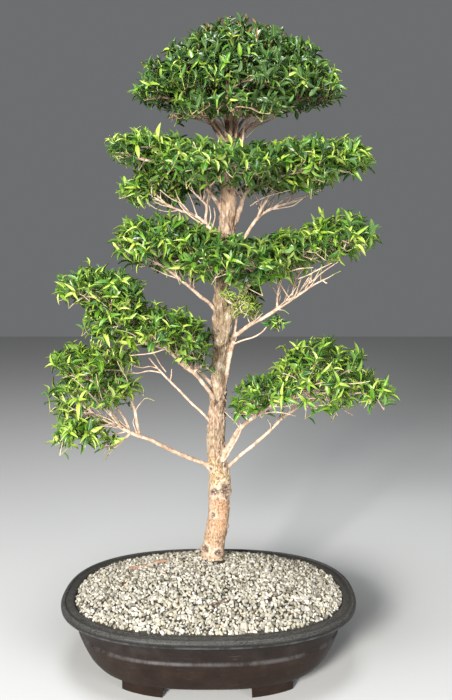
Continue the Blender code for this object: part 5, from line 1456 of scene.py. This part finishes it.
# the finer dust and shade below the grains
soil_m, nt, p = new_material("fines")
oc = object_coords(nt)
n1 = noise_tex(nt, oc, 420, 4, 0.7)
link(nt, ramp(nt, n1, [(0.38, (0.020, 0.018, 0.014)), (0.58, (0.06, 0.054, 0.042)), (0.75, (0.20, 0.185, 0.15))]), p.inputs["Base Color"])
p.inputs["Roughness"].default_value = 1.0
link(nt, bump(nt, n1, 0.8, 0.002), p.inputs["Normal"])

# moulded plastic
pot_m, nt, p = new_material("pot_plastic")
oc = object_coords(nt)
n1 = noise_tex(nt, oc, 30, 6, 0.65)
streak_sheen = noise_tex(nt, stretched(nt, oc, (1, 1, 6)), 55, 5, 0.7)
n3 = noise_tex(nt, oc, 900, 3, 0.6)
sepz = nt.nodes.new("ShaderNodeSeparateXYZ")
link(nt, oc, sepz.inputs[0])
base_c = ramp(nt, n1, [(0.30, (0.0110, 0.0056, 0.0036)), (0.55, (0.0190, 0.0104, 0.0070)), (0.75, (0.031, 0.0215, 0.0165))])
# the upper wall and rim band turn neutral grey towards the top: partly the plastic's tone, partly painted sheen from
# the top light
band_c = ramp(nt, n1, [(0.30, (0.0085, 0.0078, 0.0076)), (0.55, (0.0140, 0.0130, 0.0128)), (0.75, (0.026, 0.0250, 0.0246))])
base_c = mix(nt, ramp(nt, sepz.outputs[2], [(0.0600, (0, 0, 0)), (0.0660, (0.35, 0.35, 0.35)), (0.0900, (0.55, 0.55, 0.55)), (0.0935, (1, 1, 1))]), base_c, band_c)
# pale horizontal streaks: partly scuffs, partly painted sheen
base_c = mix(nt, ramp(nt, streak_sheen, [(0.60, (0, 0, 0)), (0.80, (0.5, 0.5, 0.5))]), base_c, (0.095, 0.090, 0.086))
# painted highlights: thin pale lines along the ledge and the lower edge of the rim band, broken up by noise
edge_highlight = ramp(nt, sepz.outputs[2], [(0.0606, (0, 0, 0)), (0.0612, (1, 1, 1)), (0.0620, (1, 1, 1)), (0.0632, (0, 0, 0)), (0.0928, (0, 0, 0)), (0.0936, (1, 1, 1)), (0.0944, (1, 1, 1)), (0.0954, (0, 0, 0))])
highlight_break = ramp(nt, noise_tex(nt, stretched(nt, oc, (1, 1, 0.2)), 38, 4, 0.7), [(0.42, (0.10, 0.10, 0.10)), (0.58, (0.75, 0.75, 0.75))])
base_c = mix(nt, maths(nt, "MULTIPLY", edge_highlight, highlight_break), base_c, (0.120, 0.122, 0.128))
dust = maths(nt, "MULTIPLY", ramp(nt, sepz.outputs[2], [(0.1000, (0, 0, 0)), (0.1030, (1, 1, 1))]), ramp(nt, n3, [(0.42, (0, 0, 0)), (0.66, (0.55, 0.55, 0.55))]))
base_c = mix(nt, dust, base_c, (0.30, 0.29, 0.26))
link(nt, base_c, p.inputs["Base Color"])
link(nt, maths(nt, "ADD", 0.36, maths(nt, "MULTIPLY", n1, 0.22)), p.inputs["Roughness"])
p.inputs["Specular IOR Level"].default_value = 0.19
link(nt, bump(nt, n3, 0.12, 0.0006, bump(nt, n1, 0.15, 0.002)), p.inputs["Normal"])

flake_m, nt, p = new_material("dry_bark")
oc = object_coords(nt)
n1 = noise_tex(nt, stretched(nt, oc, (0.3, 1, 1)), 420, 5, 0.65)
link(nt, ramp(nt, n1, [(0.30, (0.16, 0.085, 0.055)), (0.52, (0.38, 0.22, 0.15)), (0.75, (0.56, 0.40, 0.31))]), p.inputs["Base Color"])
p.inputs["Roughness"].default_value = 0.9
link(nt, bump(nt, n1, 0.6, 0.001), p.inputs["Normal"])

litter_m, nt, p = new_material("litter")
oc = object_coords(nt)
n1 = noise_tex(nt, oc, 500, 4, 0.6)
link(nt, ramp(nt, n1, [(0.30, (0.05, 0.025, 0.018)), (0.55, (0.13, 0.055, 0.035)), (0.75, (0.22, 0.11, 0.07))]), p.inputs["Base Color"])
p.inputs["Roughness"].default_value = 0.85

screen_m, nt, p = new_material("screen_plastic")
oc = object_coords(nt)
n1 = noise_tex(nt, oc, 200, 3, 0.5)
link(nt, ramp(nt, n1, [(0.3, (0.012, 0.012, 0.012)), (0.7, (0.035, 0.035, 0.035))]), p.inputs["Base Color"])
p.inputs["Roughness"].default_value = 0.55

# ---------------------------------------------------------------------------- put together
def dress(ob, mat):
    ob.data.materials.clear()
    ob.data.materials.append(mat)


for pad, ob in leaf_sets.items():
    dress(ob, leaf_m)
    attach(ob, "root")
    if pad != "inner_tuft":
        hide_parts(pad)
dress(twig_ob, twig_m)
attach(twig_ob, "root")
dress(wood, bark_m)
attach(wood, "root")
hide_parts("trunk_and_branches")
dress(flake_ob, flakes_m)
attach(flake_ob, "root")
dress(gravel, stone_m)
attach(gravel, "root")
dress(flake, flake_m)
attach(flake, "root")
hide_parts("bark_flake")
dress(chips, litter_m)
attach(chips, "root")
dress(pot_ob, pot_m)
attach(pot_ob, "root")
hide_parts("pot")
for name, mat in (("soil", soil_m), ("drain_screen_left", screen_m), ("drain_screen_right", screen_m)):
    ob = frame["nodes"][name]
    for slot in ob.material_slots:
        slot.material = mat

# ---------------------------------------------------------------------------- floor, light and camera


floor_m, nt, p = new_material("floor")
p.inputs["Base Color"].default_value = (0.58, 0.58, 0.57, 1)
p.inputs["Roughness"].default_value = 0.9
bpy.ops.mesh.primitive_plane_add(size=14, location=(0, 0, 0))
floor = bpy.context.object
floor.name = "floor"
floor.data.materials.append(floor_m)

world = bpy.data.worlds.new("studio")
bpy.context.scene.world = world
world.use_nodes = True
bpy.context.scene.view_settings.view_transform = "Standard"
bg = world.node_tree.nodes["Background"]
bg.inputs["Color"].default_value = (0.96, 0.98, 1.0, 1)
bg.inputs["Strength"].default_value = 0.16


def area_light(name, place, aim, size, power, colour=(1, 1, 1)):
    data = bpy.data.lights.new(name, "AREA")
    data.shape = "RECTANGLE"
    data.size, data.size_y = size
    data.energy = power
    data.color = colour
    ob = bpy.data.objects.new(name, data)
    ob.location = place
    ob.rotation_euler = (Vector(aim) - Vector(place)).to_track_quat("-Z", "Y").to_euler()
    bpy.context.scene.collection.objects.link(ob)
    return ob


area_light("key", (-1.15, -2.68, 1.28), (0, 0, 0.5), (0.70, 0.70), 184, (1.0, 0.98, 0.94))
area_light("fill", (1.9, -2.1, 1.0), (0, 0, 0.5), (1.0, 1.0), 34, (0.97, 0.99, 1.0))
area_light("top", (-0.15, -0.35, 2.45), (0, 0, 0.5), (0.85, 0.85), 35, (0.90, 0.95, 1.0))

cam = bpy.data.cameras.new("camera")
cam.sensor_width = 36
cam.lens = 36 * VIEW_F / 700
cam.clip_start = 0.01
camera = bpy.data.objects.new("camera", cam)
camera.location = VIEW
camera.rotation_euler = (math.pi / 2 - VIEW_DOWN, 0, 0)
bpy.context.scene.collection.objects.link(camera)
bpy.context.scene.camera = camera

total = 0
for ob in bpy.context.scene.objects:
    if ob.type == "MESH":
        t = sum(len(q.vertices) - 2 for q in ob.data.polygons)
        total += t
        if t > 2000:
            print("TRIS", ob.name, t)
print("TRIS all", total)
